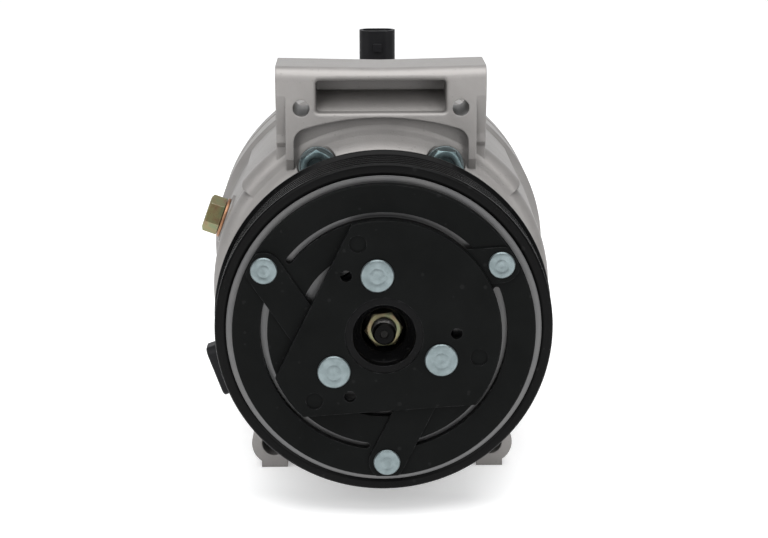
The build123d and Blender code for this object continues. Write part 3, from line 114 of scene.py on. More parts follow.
def sheet_mesh(name, points):
    """An open grid of quads through points, an array of rows by columns by 3."""
    rows, columns = points.shape[:2]
    number = np.arange(rows * columns).reshape(rows, columns)
    quads = np.stack([number[:-1, :-1], number[:-1, 1:], number[1:, 1:], number[1:, :-1]], -1)
    mesh = bpy.data.meshes.new(name)
    mesh.from_pydata(points.reshape(-1, 3), [], quads.reshape(-1, 4))
    mesh.polygons.foreach_set("use_smooth", np.ones(len(mesh.polygons), bool))
    made = bpy.data.objects.new(name, mesh)
    bpy.context.scene.collection.objects.link(made)
    return made


def bench_sheet():
    """Across is x. Along is level, then a quarter circle of the bend's radius, then upright."""
    across = np.linspace(-bench_half, bench_half, 9)
    turn = np.linspace(0.0, math.pi / 2, 24)
    level = np.column_stack([[-bench_half, 0.0], [0.0, 0.0]])
    curve = np.column_stack([bench_bend_start + bench_bend * np.sin(turn),
                             bench_bend * (1 - np.cos(turn))])
    upright = np.array([[bench_bend_start + bench_bend, bench_back_height]])
    line = np.vstack([level, curve, upright])
    points = np.empty((len(line), len(across), 3))
    points[..., 0] = across
    points[..., 1] = line[:, 0][:, None]
    points[..., 2] = line[:, 1][:, None] + bench_height
    return points


bench = sheet_mesh("bench", bench_sheet())
bench_paint, bench_tree, bench_shader = new_finish(
    "bench_paint", roughness=0.85, emission_color=(1.0, 1.0, 1.0, 1), emission_strength=0.34)
bench_speck = add(bench_tree, "ShaderNodeTexNoise",
                  {"Vector": add(bench_tree, "ShaderNodeTexCoord").outputs["Object"], "Scale": 6.0})
bench_tone = add(bench_tree, "ShaderNodeMix",
                 {"Factor": bench_speck.outputs["Fac"], "A": (0.88, 0.88, 0.88, 1), "B": (0.92, 0.92, 0.92, 1)},
                 data_type="RGBA")
bench_tree.links.new(bench_tone.outputs["Result"], bench_shader.inputs["Base Color"])
bench.data.materials.append(bench_paint)


def soft_box(name, place, target, width, height, power):
    """A rectangular light of that size and power, turned to face its target."""
    light = bpy.data.lights.new(name, "AREA")
    light.shape = "RECTANGLE"
    light.size = width
    light.size_y = height
    light.energy = power
    lamp = bpy.data.objects.new(name, light)
    lamp.matrix_world = Matrix.Translation(place) @ (
        Vector(target) - Vector(place)).to_track_quat("-Z", "Y").to_matrix().to_4x4()
    bpy.context.scene.collection.objects.link(lamp)


soft_box("light_above", (0.0, -0.35, 1.3), (0, 0.05, 0), 1.5, 1.3, 24)
soft_box("light_left", (-0.75, -1.3, 0.75), (0, 0, 0.02), 0.5, 0.9, 9)
soft_box("light_right", (0.8, -1.3, 0.6), (0, 0, 0.02), 0.5, 0.9, 7)
sky = bpy.data.worlds.new("pale_sky")
sky.use_nodes = True
sky.node_tree.nodes["Background"].inputs["Color"].default_value = (0.95, 0.97, 1.0, 1)
sky.node_tree.nodes["Background"].inputs["Strength"].default_value = 0.30
bpy.context.scene.world = sky


# ---- Case: front head, cylinder block and rear head ---------------------------------------------
# Three die castings of aluminium alloy, shot-blasted to a fine even grain. The port face, the bolt
# seats and the foot faces are machined bright afterwards.
def new_group(name, inputs, outputs):
    """An empty node group. Each input is (name, kind, value), and each output (name, kind)."""
    group = bpy.data.node_groups.new(name, "ShaderNodeTree")
    for label, kind, value in inputs:
        made = group.interface.new_socket(label, in_out="INPUT", socket_type="NodeSocket" + kind)
        if value is not None:
            made.default_value = value
    for label, kind in outputs:
        group.interface.new_socket(label, in_out="OUTPUT", socket_type="NodeSocket" + kind)
    return group, group.nodes.new("NodeGroupInput").outputs, group.nodes.new("NodeGroupOutput").inputs


def build_surface_grain():
    """Fine bumps and slow clouds: two noises over the object, each with its own repeats per metre,
    and small round pits where a cell's distance from its centre is under the pit size."""
    group, given, wanted = new_group(
        "surface_grain", [("Grain", "Float", 2500.0), ("Clouds", "Float", 60.0), ("Pits", "Float", 400.0)],
        [("Height", "Float"), ("Cloud", "Float"), ("Pit", "Float")])
    place = add(group, "ShaderNodeTexCoord").outputs["Object"]
    grain = add(group, "ShaderNodeTexNoise", {"Vector": place, "Scale": given["Grain"], "Detail": 3.0,
                                              "Roughness": 0.62})
    cloud = add(group, "ShaderNodeTexNoise", {"Vector": place, "Scale": given["Clouds"], "Detail": 4.0,
                                              "Roughness": 0.58, "Distortion": 0.4})
    cell = add(group, "ShaderNodeTexVoronoi", {"Vector": place, "Scale": given["Pits"], "Randomness": 1.0})
    chance = add(group, "ShaderNodeSeparateColor", {"Color": cell.outputs["Color"]})
    size = add(group, "ShaderNodeMapRange", {"Value": chance.outputs[0], "From Min": 0.8, "From Max": 1.0,
                                             "To Min": 0.0, "To Max": 0.32})
    pit = add(group, "ShaderNodeMath", {0: cell.outputs["Distance"], 1: size.outputs["Result"]},
              operation="LESS_THAN")
    group.links.new(grain.outputs["Fac"], wanted["Height"])
    group.links.new(cloud.outputs["Fac"], wanted["Cloud"])
    group.links.new(pit.outputs[0], wanted["Pit"])
    return group


def build_edge_wear_and_shade():
    """Edges: the normal averaged over a small radius, and how far it leans from the flat one,
    broken up by a noise. Open is the ambient occlusion, 1 in the open and falling towards 0 in
    corners; the materials darken their colour with it, which is painted shade."""
    group, given, wanted = new_group(
        "edge_wear_and_shade", [("Breaks", "Float", 500.0), ("Reach", "Float", 0.0006)],
        [("Wear", "Float"), ("Normal", "Vector"), ("Open", "Float")])
    place = add(group, "ShaderNodeTexCoord").outputs["Object"]
    rounded_normal = add(group, "ShaderNodeBevel", {"Radius": given["Reach"]}, samples=4)
    flat = add(group, "ShaderNodeNewGeometry")
    lean = add(group, "ShaderNodeVectorMath", {0: rounded_normal.outputs[0], 1: flat.outputs["Normal"]},
               operation="DOT_PRODUCT")
    edge = add(group, "ShaderNodeMapRange", {"Value": lean.outputs["Value"], "From Min": 0.98, "From Max": 0.84,
                                             "To Min": 0.0, "To Max": 1.0})
    breaks = add(group, "ShaderNodeTexNoise", {"Vector": place, "Scale": given["Breaks"], "Detail": 3.0})
    share = add(group, "ShaderNodeMapRange", {"Value": breaks.outputs["Fac"],
                                              "From Min": 0.38, "From Max": 0.62})
    # Ambient occlusion: the materials use it to paint shade into corners and hollows.
    shade = add(group, "ShaderNodeAmbientOcclusion", {"Distance": 0.012}, samples=4)
    open_edge = add(group, "ShaderNodeMath", {0: edge.outputs[0], 1: shade.outputs["AO"]}, operation="MULTIPLY")
    wear = add(group, "ShaderNodeMath", {0: open_edge.outputs[0], 1: share.outputs[0]}, operation="MULTIPLY")
    group.links.new(wear.outputs[0], wanted["Wear"])
    group.links.new(rounded_normal.outputs[0], wanted["Normal"])
    group.links.new(shade.outputs["AO"], wanted["Open"])
    return group


def build_turning_lines():
    """Fine lines left by a cutting tool: noise along one distance only, so that every point at the
    same distance from the axis, or along the profile, has the same tone."""
    group, given, wanted = new_group(
        "turning_lines", [("Distance", "Float", 0.0), ("Lines", "Float", 3000.0)], [("Tone", "Float")])
    scaled = add(group, "ShaderNodeMath", {0: given["Distance"], 1: given["Lines"]}, operation="MULTIPLY")
    tone = add(group, "ShaderNodeTexNoise", {"W": scaled.outputs[0], "Scale": 1.0, "Detail": 4.0,
                                             "Roughness": 0.7}, noise_dimensions="1D")
    group.links.new(tone.outputs["Fac"], wanted["Tone"])
    return group


surface_grain = build_surface_grain()
edge_wear_and_shade = build_edge_wear_and_shade()
turning_lines = build_turning_lines()


def use(tree, group, **inputs):
    """A node group placed in a material, with its own values. Returns its outputs."""
    made = tree.nodes.new("ShaderNodeGroup")
    made.node_tree = group
    for name, value in inputs.items():
        if isinstance(value, bpy.types.NodeSocket):
            tree.links.new(value, made.inputs[name])
        else:
            made.inputs[name].default_value = value
    return made.outputs


def blend_of(tree, share, first, second):
    """The first colour where share is 0, and the second where it is 1."""
    made = tree.nodes.new("ShaderNodeMix")
    made.data_type = "RGBA"
    for socket, value in ((made.inputs[0], share), (made.inputs[6], first), (made.inputs[7], second)):
        if isinstance(value, bpy.types.NodeSocket):
            tree.links.new(value, socket)
        else:
            socket.default_value = value
    return made.outputs[2]


def range_of(tree, value, low, high, from_low=0.0, from_high=1.0):
    """The value carried from one range to another, and held at its ends."""
    return add(tree, "ShaderNodeMapRange", {"Value": value, "From Min": from_low, "From Max": from_high,
                                            "To Min": low, "To Max": high}).outputs[0]


def sum_of(tree, first, second, operation="ADD"):
    """Two values added, or joined by another operation."""
    return add(tree, "ShaderNodeMath", {0: first, 1: second}, operation=operation).outputs[0]


def radius_of(tree):
    """How far a point is from the shaft axis."""
    place = add(tree, "ShaderNodeSeparateXYZ", {0: add(tree, "ShaderNodeTexCoord").outputs["Object"]})
    flat = add(tree, "ShaderNodeCombineXYZ", {0: place.outputs[0], 1: place.outputs[2]})
    return add(tree, "ShaderNodeVectorMath", {0: flat.outputs[0]}, operation="LENGTH").outputs["Value"]


def connect(tree, shader, color=None, roughness=None, height=None, normal=None, distance=0.0001, strength=1.0):
    """Links a colour, a roughness and a bump into the shader."""
    if color is not None:
        tree.links.new(color, shader.inputs["Base Color"])
    if roughness is not None:
        tree.links.new(roughness, shader.inputs["Roughness"])
    if height is not None:
        bump = add(tree, "ShaderNodeBump", {"Height": height, "Distance": distance, "Strength": strength})
        if normal is not None:
            tree.links.new(normal, bump.inputs["Normal"])
        tree.links.new(bump.outputs["Normal"], shader.inputs["Normal"])


def build_cast_aluminium():
    """Blasted casting: pale warm grey clouds, painted shade darker in corners, brighter on rubbed edges."""
    material, tree, shader = new_finish("cast_aluminium", metallic=0.45)
    grain = use(tree, surface_grain, Grain=1500.0, Clouds=38.0, Pits=800.0)
    edge = use(tree, edge_wear_and_shade, Breaks=420.0, Reach=0.0007)
    stain = add(tree, "ShaderNodeTexNoise", {"Vector": add(tree, "ShaderNodeTexCoord").outputs["Object"],
                                             "Scale": 12.0, "Detail": 5.0, "Roughness": 0.65})
    color = blend_of(tree, range_of(tree, grain["Cloud"], 0, 1, 0.3, 0.7),
                     (0.235, 0.224, 0.216, 1), (0.290, 0.278, 0.268, 1))
    color = blend_of(tree, range_of(tree, stain.outputs["Fac"], 0, 0.35, 0.52, 0.72), color,
                     (0.215, 0.208, 0.200, 1))
    color = blend_of(tree, sum_of(tree, grain["Pit"], 0.22, "MULTIPLY"), color, (0.11, 0.105, 0.10, 1))
    # Painted shade: darker where the ambient occlusion finds corners and hollows.
    color = blend_of(tree, range_of(tree, edge["Open"], 0.62, 0.0, 0.15, 0.85), color, (0.10, 0.095, 0.09, 1))
    color = blend_of(tree, sum_of(tree, edge["Wear"], 0.22, "MULTIPLY"), color, (0.46, 0.45, 0.44, 1))
    rough = range_of(tree, grain["Cloud"], 0.40, 0.56, 0.3, 0.7)
    height = sum_of(tree, grain["Height"], sum_of(tree, grain["Pit"], -0.8, "MULTIPLY"))
    connect(tree, shader, color, rough, height, edge["Normal"], distance=0.00012, strength=0.55)
    return material


def dress(material, *nodes):
    """A CAD node keeps its shape and takes this material."""
    for name in nodes:
        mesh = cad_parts[name].data
        mesh.materials.clear()
        mesh.materials.append(material)


dress(build_cast_aluminium(), "front_head", "cylinder_block", "rear_head")


# ---- Case bolts and washers ---------------------------------------------------------------------
# Six hexagon bolts hold the three castings together. Cold-formed steel, clear zinc plated, each on a
# hardened plain washer in its own machined seat.
bolt_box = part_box("through_bolts")
washer_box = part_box("bolt_washers")
bolt_circle = 59.2 * mm
bolt_turns = {0.0: 12.0, 64.0: 25.0, 116.0: 3.0, 180.0: 40.0, 244.0: 18.0, 296.0: 51.0}
bolt_flats = 13.0 * mm
bolt_shank = 4.0 * mm
bolt_dish = 0.9 * mm
washer_bore = bolt_shank + 0.2 * mm
washer_rim = 7.7 * mm


def rounded(outline, steps=4):
    """Each corner (radius, y, rounding) of an outline gives way to a curve from a point that far
    before it to one that far after it: (1-t)^2 of the first, 2t(1-t) of the corner, t^2 of the last."""
    corner = np.array([(p[0], p[1]) for p in outline], float)
    reach = np.array([p[2] if len(p) > 2 else 0.0 for p in outline], float)[:, None]
    before = np.roll(corner, 1, 0) - corner
    after = np.roll(corner, -1, 0) - corner
    before *= np.minimum(reach / np.linalg.norm(before, axis=1, keepdims=True), 0.49)
    after *= np.minimum(reach / np.linalg.norm(after, axis=1, keepdims=True), 0.49)
    t = np.linspace(0, 1, steps)[None, :, None]
    curve = corner[:, None] + (1 - t) ** 2 * before[:, None] + t ** 2 * after[:, None]
    line = curve.reshape(-1, 2)
    keep = np.linalg.norm(line - np.roll(line, 1, 0), axis=1) > 1e-7
    return line[keep]


def turned_points(line, columns=96, flats=None, hex_rows=None, turn=0.0):
    """A profile carried round its axis: x = r cos a, z = r sin a. On the rows of a hexagon the
    radius is the smaller of the profile's own and half the flats over cos of the angle from a flat."""
    angle = np.arange(columns) * 2 * math.pi / columns
    radius = np.repeat(line[:, 0][:, None], columns, 1)
    if flats is not None:
        lean = (angle + math.pi / 6) % (math.pi / 3) - math.pi / 6
        limit = np.repeat((flats / 2 / np.cos(lean))[None, :], len(line), 0)
        if hex_rows is not None:
            limit = np.where(hex_rows(line[:, 1])[:, None], limit, np.inf)
        radius = np.minimum(radius, limit)
    angle = angle + math.radians(turn)
    points = np.empty((len(line), columns, 3))
    points[..., 0] = radius * np.cos(angle)
    points[..., 1] = line[:, 1][:, None]
    points[..., 2] = radius * np.sin(angle)
    return points


def ring_quads(rows, columns):
    """Quads of a grid that closes on itself both ways."""
    number = np.arange(rows * columns).reshape(rows, columns)
    across, along = np.roll(number, -1, 1), np.roll(number, -1, 0)
    return np.stack([number, across, np.roll(across, -1, 0), along], -1).reshape(-1, 4)


def shell(name, grids, sharp=32.0):
    """One closed mesh from several closed grids of points. Equal points are welded, a quad that
    loses a corner becomes a triangle, and a grid whose volume comes out negative is turned round."""
    points, quads, start = [], [], 0
    for grid in grids:
        flat = grid.reshape(-1, 3)
        own = ring_quads(*grid.shape[:2])
        a, b, c, d = (flat[own[:, k]] for k in range(4))
        volume = (a * np.cross(b, c)).sum() + (a * np.cross(c, d)).sum()
        quads.append((own if volume > 0 else own[:, ::-1]) + start)
        points.append(flat)
        start += len(flat)
    points, quads = np.vstack(points), np.vstack(quads)
    part = np.repeat(np.arange(len(grids)), [g.shape[0] * g.shape[1] for g in grids])
    keys = np.column_stack([np.round(points * 1e8).astype(np.int64), part])
    _, first, same = np.unique(keys, axis=0, return_index=True, return_inverse=True)
    corners = same.reshape(-1)[quads]
    kept = corners != np.roll(corners, -1, 1)
    whole = kept.sum(1) > 2
    corners, kept = corners[whole], kept[whole]
    counts = kept.sum(1)
    loops = corners[kept]
    mesh = bpy.data.meshes.new(name)
    mesh.vertices.add(len(first))
    mesh.vertices.foreach_set("co", points[first].reshape(-1).astype(np.float32))
    mesh.loops.add(len(loops))
    mesh.loops.foreach_set("vertex_index", loops.astype(np.int32))
    mesh.polygons.add(len(counts))
    mesh.polygons.foreach_set("loop_start", (np.cumsum(counts) - counts).astype(np.int32))
    mesh.update(calc_edges=True)
    mesh.validate()
    mesh.polygons.foreach_set("use_smooth", np.ones(len(mesh.polygons), bool))
    mesh.set_sharp_from_angle(angle=math.radians(sharp))
    made = bpy.data.objects.new(name, mesh)
    bpy.context.scene.collection.objects.link(made)
    return made


def fit(piece, body, slot, material, *nodes):
    """The piece rides on a body, takes a material, and stands for its CAD nodes. The slot is not used."""
    piece.data.materials.append(material)
    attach(piece, body)
    if nodes:
        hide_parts(*nodes)
    return piece


def at_angle(points, radius, angle, lift=0.0):
    """The points moved out from the shaft axis to a radius and an angle."""
    a = math.radians(angle)
    return points + np.array([radius * math.cos(a), lift, radius * math.sin(a)])


def hex_head(flats, face, seat, shank, end, crown=0.25 * mm):
    """Half outline of a hexagon head: a flat face, a 30 degree cone to the corners, straight sides,
    then a washer face and the shank. Face and seat are places along the axis."""
    corner = flats / math.sqrt(3)
    side = 1.0 if seat > face else -1.0
    cone = np.linspace(0, 1, 7)[1:]
    rise = (corner - flats * 0.475) * math.tan(math.radians(30))
    rows = [(0.0, face + side * crown), (flats * 0.30, face + side * crown), (flats * 0.33, face)]
    rows += [(flats * 0.475, face)]
    rows += [(flats * 0.475 + (corner - flats * 0.475) * t, face + side * rise * t) for t in cone]
    rows += [(corner, seat - side * 0.5 * mm), (corner, seat - side * 0.3 * mm), (flats * 0.47, seat)]
    rows += [(shank, seat), (shank, end - side * 0.6 * mm), (shank - 0.6 * mm, end), (0.0, end)]
    return np.array(rows)


def build_zinc(name, low, high, tint=None):
    """Plated steel: crystals give a slight mottle, and the brightener leaves it almost smooth. The
    tint of a passivated coat shifts with the cloud between three colours."""
    material, tree, shader = new_finish(name, metallic=0.9)
    grain = use(tree, surface_grain, Grain=3200.0, Clouds=260.0, Pits=900.0)
    edge = use(tree, edge_wear_and_shade, Breaks=700.0, Reach=0.0003)
    color = blend_of(tree, range_of(tree, grain["Cloud"], 0, 1, 0.35, 0.65), low, high)
    if tint is not None:
        ramp = add(tree, "ShaderNodeValToRGB", {"Fac": grain["Cloud"]})
        ramp.color_ramp.elements[0].position = 0.3
        ramp.color_ramp.elements[0].color = tint[0]
        ramp.color_ramp.elements[1].position = 0.7
        ramp.color_ramp.elements[1].color = tint[2]
        ramp.color_ramp.elements.new(0.5).color = tint[1]
        color = blend_of(tree, 0.75, color, ramp.outputs["Color"])
    # Painted shade: darker in corners and hollows, from the ambient occlusion.
    color = blend_of(tree, range_of(tree, edge["Open"], 0.6, 0.0, 0.1, 0.8), color, (0.10, 0.10, 0.10, 1))
    color = blend_of(tree, sum_of(tree, edge["Wear"], 0.6, "MULTIPLY"), color, (0.42, 0.44, 0.45, 1))
    rough = range_of(tree, grain["Height"], 0.26, 0.42, 0.3, 0.7)
    connect(tree, shader, color, rough, grain["Height"], edge["Normal"], distance=0.00003, strength=0.5)
    return material


case_zinc = build_zinc("case_zinc", (0.060, 0.085, 0.090, 1), (0.120, 0.160, 0.166, 1))
clear_zinc = build_zinc("clear_zinc", (0.150, 0.184, 0.190, 1), (0.205, 0.247, 0.255, 1))
bolt_line = hex_head(bolt_flats, bolt_box[0].y, washer_box[0].y, bolt_shank, bolt_box[1].y, bolt_dish)
bolt_grids = [
    at_angle(turned_points(bolt_line, 72, bolt_flats, lambda y: y < washer_box[0].y - 0.01 * mm, turn),
             bolt_circle, angle)
    for angle, turn in bolt_turns.items()]
fit(shell("case_bolts", bolt_grids), "housing", "blue_zinc", case_zinc, "through_bolts")
washer_line = rounded([
    (washer_bore, washer_box[0].y, 0.2 * mm), (washer_rim, washer_box[0].y, 0.35 * mm),
    (washer_rim, washer_box[1].y, 0.15 * mm), (washer_bore, washer_box[1].y)])
washer_grids = [at_angle(turned_points(washer_line, 64), bolt_circle, angle) for angle in bolt_turns]
fit(shell("case_washers", washer_grids), "housing", "blue_zinc", clear_zinc, "bolt_washers")


# ---- Valve plate, reeds and seal ring -----------------------------------------------------------
# A ground steel plate with spring-steel reed sheets on both sides is clamped between the block and
# the rear head, and shows as a thin dark line round the joint. A rubber ring seals the front joint.
def build_steel(name, low, high, lines=2600.0, rough=(0.28, 0.42)):
    """Machined steel: rings of tool marks about the shaft axis over a slow change of tone."""
    material, tree, shader = new_finish(name, metallic=1.0)
    grain = use(tree, surface_grain, Grain=2800.0, Clouds=90.0, Pits=500.0)
    marks = use(tree, turning_lines, Distance=radius_of(tree), Lines=lines)
    edge = use(tree, edge_wear_and_shade, Breaks=600.0, Reach=0.0003)
    color = blend_of(tree, range_of(tree, marks["Tone"], 0, 1, 0.3, 0.7), low, high)
    color = blend_of(tree, range_of(tree, grain["Cloud"], 0.3, 0.0, 0.35, 0.6), color,
                     tuple(c * 0.6 for c in low[:3]) + (1,))
    # Painted shade: darker in corners and hollows, from the ambient occlusion.
    color = blend_of(tree, range_of(tree, edge["Open"], 0.6, 0.0, 0.1, 0.8), color, (0.06, 0.06, 0.06, 1))
    height = sum_of(tree, marks["Tone"], sum_of(tree, grain["Height"], 0.3, "MULTIPLY"))
    connect(tree, shader, color, range_of(tree, marks["Tone"], *rough, 0.3, 0.7), height, edge["Normal"],
            distance=0.00002, strength=0.6)
    return material


def build_rubber():
    """Moulded nitrile rubber with a bloom of pale dust in its clouds."""
    material, tree, shader = new_finish("moulded_rubber", metallic=0.0)
    grain = use(tree, surface_grain, Grain=2200.0, Clouds=120.0, Pits=600.0)
    color = blend_of(tree, range_of(tree, grain["Cloud"], 0, 1, 0.35, 0.75),
                     (0.012, 0.012, 0.012, 1), (0.045, 0.044, 0.042, 1))
    connect(tree, shader, color, range_of(tree, grain["Cloud"], 0.55, 0.75, 0.3, 0.7), grain["Height"],
            distance=0.00004, strength=0.6)
    return material


ground_steel = build_steel("ground_steel", (0.42, 0.42, 0.43, 1), (0.60, 0.60, 0.61, 1))
spring_steel = build_steel("spring_steel", (0.16, 0.16, 0.17, 1), (0.27, 0.27, 0.29, 1), rough=(0.3, 0.45))
moulded_rubber = build_rubber()
dress(ground_steel, "valve_plate")
dress(spring_steel, "suction_reeds", "discharge_reeds")
dress(moulded_rubber, "case_o_ring")


# ---- Oil drain plug and its washer --------------------------------------------------------------
# A yellow zinc plated hexagon plug screwed into the machined boss on the left of the block, with a
# flat annealed copper washer under its collar.
plug_angle = 160.0
plug_y = 80.0 * mm
plug_seat = 72.0 * mm
plug_top = 79.0 * mm
plug_flats = 14.0 * mm
plug_thread = 5.0 * mm
plug_thread_length = 12.0 * mm
plug_turn = 14.0
plug_washer_bore = plug_thread + 0.1 * mm
plug_washer_rim = 8.6 * mm
plug_washer_height = 1.4 * mm
plug_washer_under = plug_seat - plug_washer_height


def laid_out(points, angle, along):
    """Points made about the Y axis, turned so that their axis leaves the shaft at that angle."""
    a = math.radians(angle)
    out = np.array([math.cos(a), 0, math.sin(a)])
    side = np.array([-math.sin(a), 0, math.cos(a)])
    axis = np.array([0, 1.0, 0])
    return points[..., 1:2] * out + points[..., 0:1] * axis + points[..., 2:3] * side + axis * along


yellow_zinc = build_zinc("yellow_zinc", (0.20, 0.165, 0.085, 1), (0.27, 0.235, 0.125, 1),
                         ((0.24, 0.13, 0.075, 1), (0.24, 0.215, 0.10, 1), (0.14, 0.20, 0.10, 1)))
plug_line = hex_head(plug_flats, plug_top, plug_seat, plug_thread, plug_seat - plug_thread_length)
plug_grid = turned_points(plug_line, 96, plug_flats, lambda y: y > plug_seat + 0.01 * mm, plug_turn)
fit(shell("plug_body", [laid_out(plug_grid, plug_angle, plug_y)]), "housing", "yellow_zinc", yellow_zinc,
    "drain_plug")


def build_copper():
    """Annealed copper, dulled to brown in its clouds."""
    material, tree, shader = new_finish("annealed_copper", metallic=1.0)
    grain = use(tree, surface_grain, Grain=2600.0, Clouds=300.0, Pits=700.0)
    edge = use(tree, edge_wear_and_shade, Breaks=600.0, Reach=0.0003)
    color = blend_of(tree, range_of(tree, grain["Cloud"], 0, 1, 0.3, 0.7),
                     (0.26, 0.13, 0.07, 1), (0.36, 0.20, 0.12, 1))
    connect(tree, shader, color, range_of(tree, grain["Cloud"], 0.28, 0.5, 0.3, 0.7), grain["Height"],
            edge["Normal"], distance=0.00003, strength=0.5)
    return material


plug_washer_line = rounded([
    (plug_washer_bore, plug_seat, 0.2 * mm), (plug_washer_rim, plug_seat, 0.4 * mm),
    (plug_washer_rim, plug_washer_under, 0.4 * mm), (plug_washer_bore, plug_washer_under, 0.2 * mm)])
fit(shell("plug_washer", [laid_out(turned_points(plug_washer_line, 64), plug_angle, plug_y)]),
    "housing", "copper", build_copper(), "drain_washer")


# ---- Pressure switch and its plug socket --------------------------------------------------------
# A steel switch body screwed into the top of the rear head, with an oval plug shroud moulded in
# glass-filled nylon and crimped into it. Two tinned pins stand in the shroud.
def build_black_plastic():
    """Moulded nylon: spark-eroded grain on the mould, slightly rubbed along its edges."""
    material, tree, shader = new_finish("black_nylon", metallic=0.0, specular_ior_level=0.12)
    grain = use(tree, surface_grain, Grain=2400.0, Clouds=70.0, Pits=500.0)
    edge = use(tree, edge_wear_and_shade, Breaks=700.0, Reach=0.0004)
    color = blend_of(tree, range_of(tree, grain["Cloud"], 0, 1, 0.3, 0.7),
                     (0.006, 0.006, 0.007, 1), (0.011, 0.011, 0.012, 1))
    color = blend_of(tree, sum_of(tree, edge["Wear"], 0.5, "MULTIPLY"), color, (0.04, 0.04, 0.042, 1))
    connect(tree, shader, color, range_of(tree, grain["Height"], 0.36, 0.52, 0.3, 0.7), grain["Height"],
            edge["Normal"], distance=0.00004, strength=0.6)
    return material


black_nylon = build_black_plastic()
tin_plate = build_zinc("tin_plate", (0.62, 0.61, 0.58, 1), (0.74, 0.73, 0.70, 1))
dress(yellow_zinc, "pressure_switch")
dress(black_nylon, "switch_connector", "coil_connector")
dress(tin_plate, "switch_pins", "coil_terminals")


# ---- Control valve and relief valve in the rear head --------------------------------------------
# Two turned steel fittings screwed into the rear head: the round stroke control valve, and the
# hexagon relief valve beside it.
dress(ground_steel, "control_valve", "relief_valve")


# ---- Clutch coil --------------------------------------------------------------------------------
# A deep-drawn steel channel on a back plate, pressed onto the nose of the front head. It holds the
# enamelled winding in cast resin, and faces into the hollow back of the rotor.
def build_black_paint(name, dark, light, rough, metal, grain_size=1100.0, wear_and_highlight_tone=(0.06, 0.06, 0.062, 1),
                      gloss=0.045):
    """Baked black coat on steel: a faint orange peel, thin and paler on the edges where it wears, which also
    serves as a painted highlight along them, with a little pale dust and painted shade in the corners.
    """
    material, tree, shader = new_finish(name, metallic=metal, specular_ior_level=gloss)
    grain = use(tree, surface_grain, Grain=grain_size, Clouds=55.0, Pits=340.0)
    edge = use(tree, edge_wear_and_shade, Breaks=380.0, Reach=0.0004)
    color = blend_of(tree, range_of(tree, grain["Cloud"], 0, 1, 0.3, 0.7), dark, light)
    color = blend_of(tree, sum_of(tree, grain["Pit"], 0.10, "MULTIPLY"), color, (0.05, 0.05, 0.05, 1))
    # Paler along the edges: partly worn coat, partly a painted highlight on the edges.
    color = blend_of(tree, sum_of(tree, edge["Wear"], 0.6, "MULTIPLY"), color, wear_and_highlight_tone)
    # Painted shade: darker in corners and hollows, from the ambient occlusion.
    color = blend_of(tree, range_of(tree, edge["Open"], 0.7, 0.0, 0.05, 0.7), color, (0.004, 0.004, 0.004, 1))
    connect(tree, shader, color, range_of(tree, grain["Cloud"], *rough, 0.3, 0.7), grain["Height"],
            edge["Normal"], distance=0.00003, strength=0.35)
    return material


def build_resin():
    """Cast resin, dark brown and glossy, wavy where it shrank."""
    material, tree, shader = new_finish("cast_resin", metallic=0.0)
    grain = use(tree, surface_grain, Grain=300.0, Clouds=40.0, Pits=300.0)
    color = blend_of(tree, range_of(tree, grain["Cloud"], 0, 1, 0.3, 0.7),
                     (0.020, 0.016, 0.012, 1), (0.050, 0.038, 0.026, 1))
    connect(tree, shader, color, range_of(tree, grain["Cloud"], 0.12, 0.3, 0.3, 0.7), grain["Height"],
            distance=0.0002, strength=0.5)
    return material


def build_enamel():
    """Wound wire: fine rings about the shaft axis in amber-brown enamel."""
    material, tree, shader = new_finish("wire_enamel", metallic=0.3)
    marks = use(tree, turning_lines, Distance=radius_of(tree), Lines=900.0)
    color = blend_of(tree, range_of(tree, marks["Tone"], 0, 1, 0.3, 0.7),
                     (0.20, 0.07, 0.03, 1), (0.52, 0.24, 0.09, 1))
    connect(tree, shader, color, range_of(tree, marks["Tone"], 0.2, 0.35, 0.3, 0.7), marks["Tone"],
            distance=0.0003, strength=0.8)
    return material


coil_black = build_black_paint("coil_black", (0.006, 0.006, 0.0065, 1), (0.010, 0.010, 0.011, 1),
                               (0.32, 0.45), 0.0)
dress(coil_black, "coil_housing")
dress(build_resin(), "coil_potting")
dress(build_enamel(), "coil_winding")


# ---- Bearing and its retaining rings ------------------------------------------------------------
# A double-row ball bearing carries the pulley on the nose of the front head. Ground rings, polished
# balls and rubber seals, held by one blackened retaining ring in the rotor and one on the nose.
polished_steel = build_steel("polished_steel", (0.62, 0.62, 0.63, 1), (0.72, 0.72, 0.73, 1),
                             rough=(0.08, 0.18))
dress(ground_steel, "bearing_outer_race", "bearing_inner_race", "needle_cups")
dress(polished_steel, "bearing_balls", "needle_rollers", "thrust_rollers")
dress(moulded_rubber, "bearing_seals", "shaft_seal", "stop_bumpers")
dress(spring_steel, "rotor_snap_ring", "bearing_snap_ring", "seal_retainer", "destroke_spring")


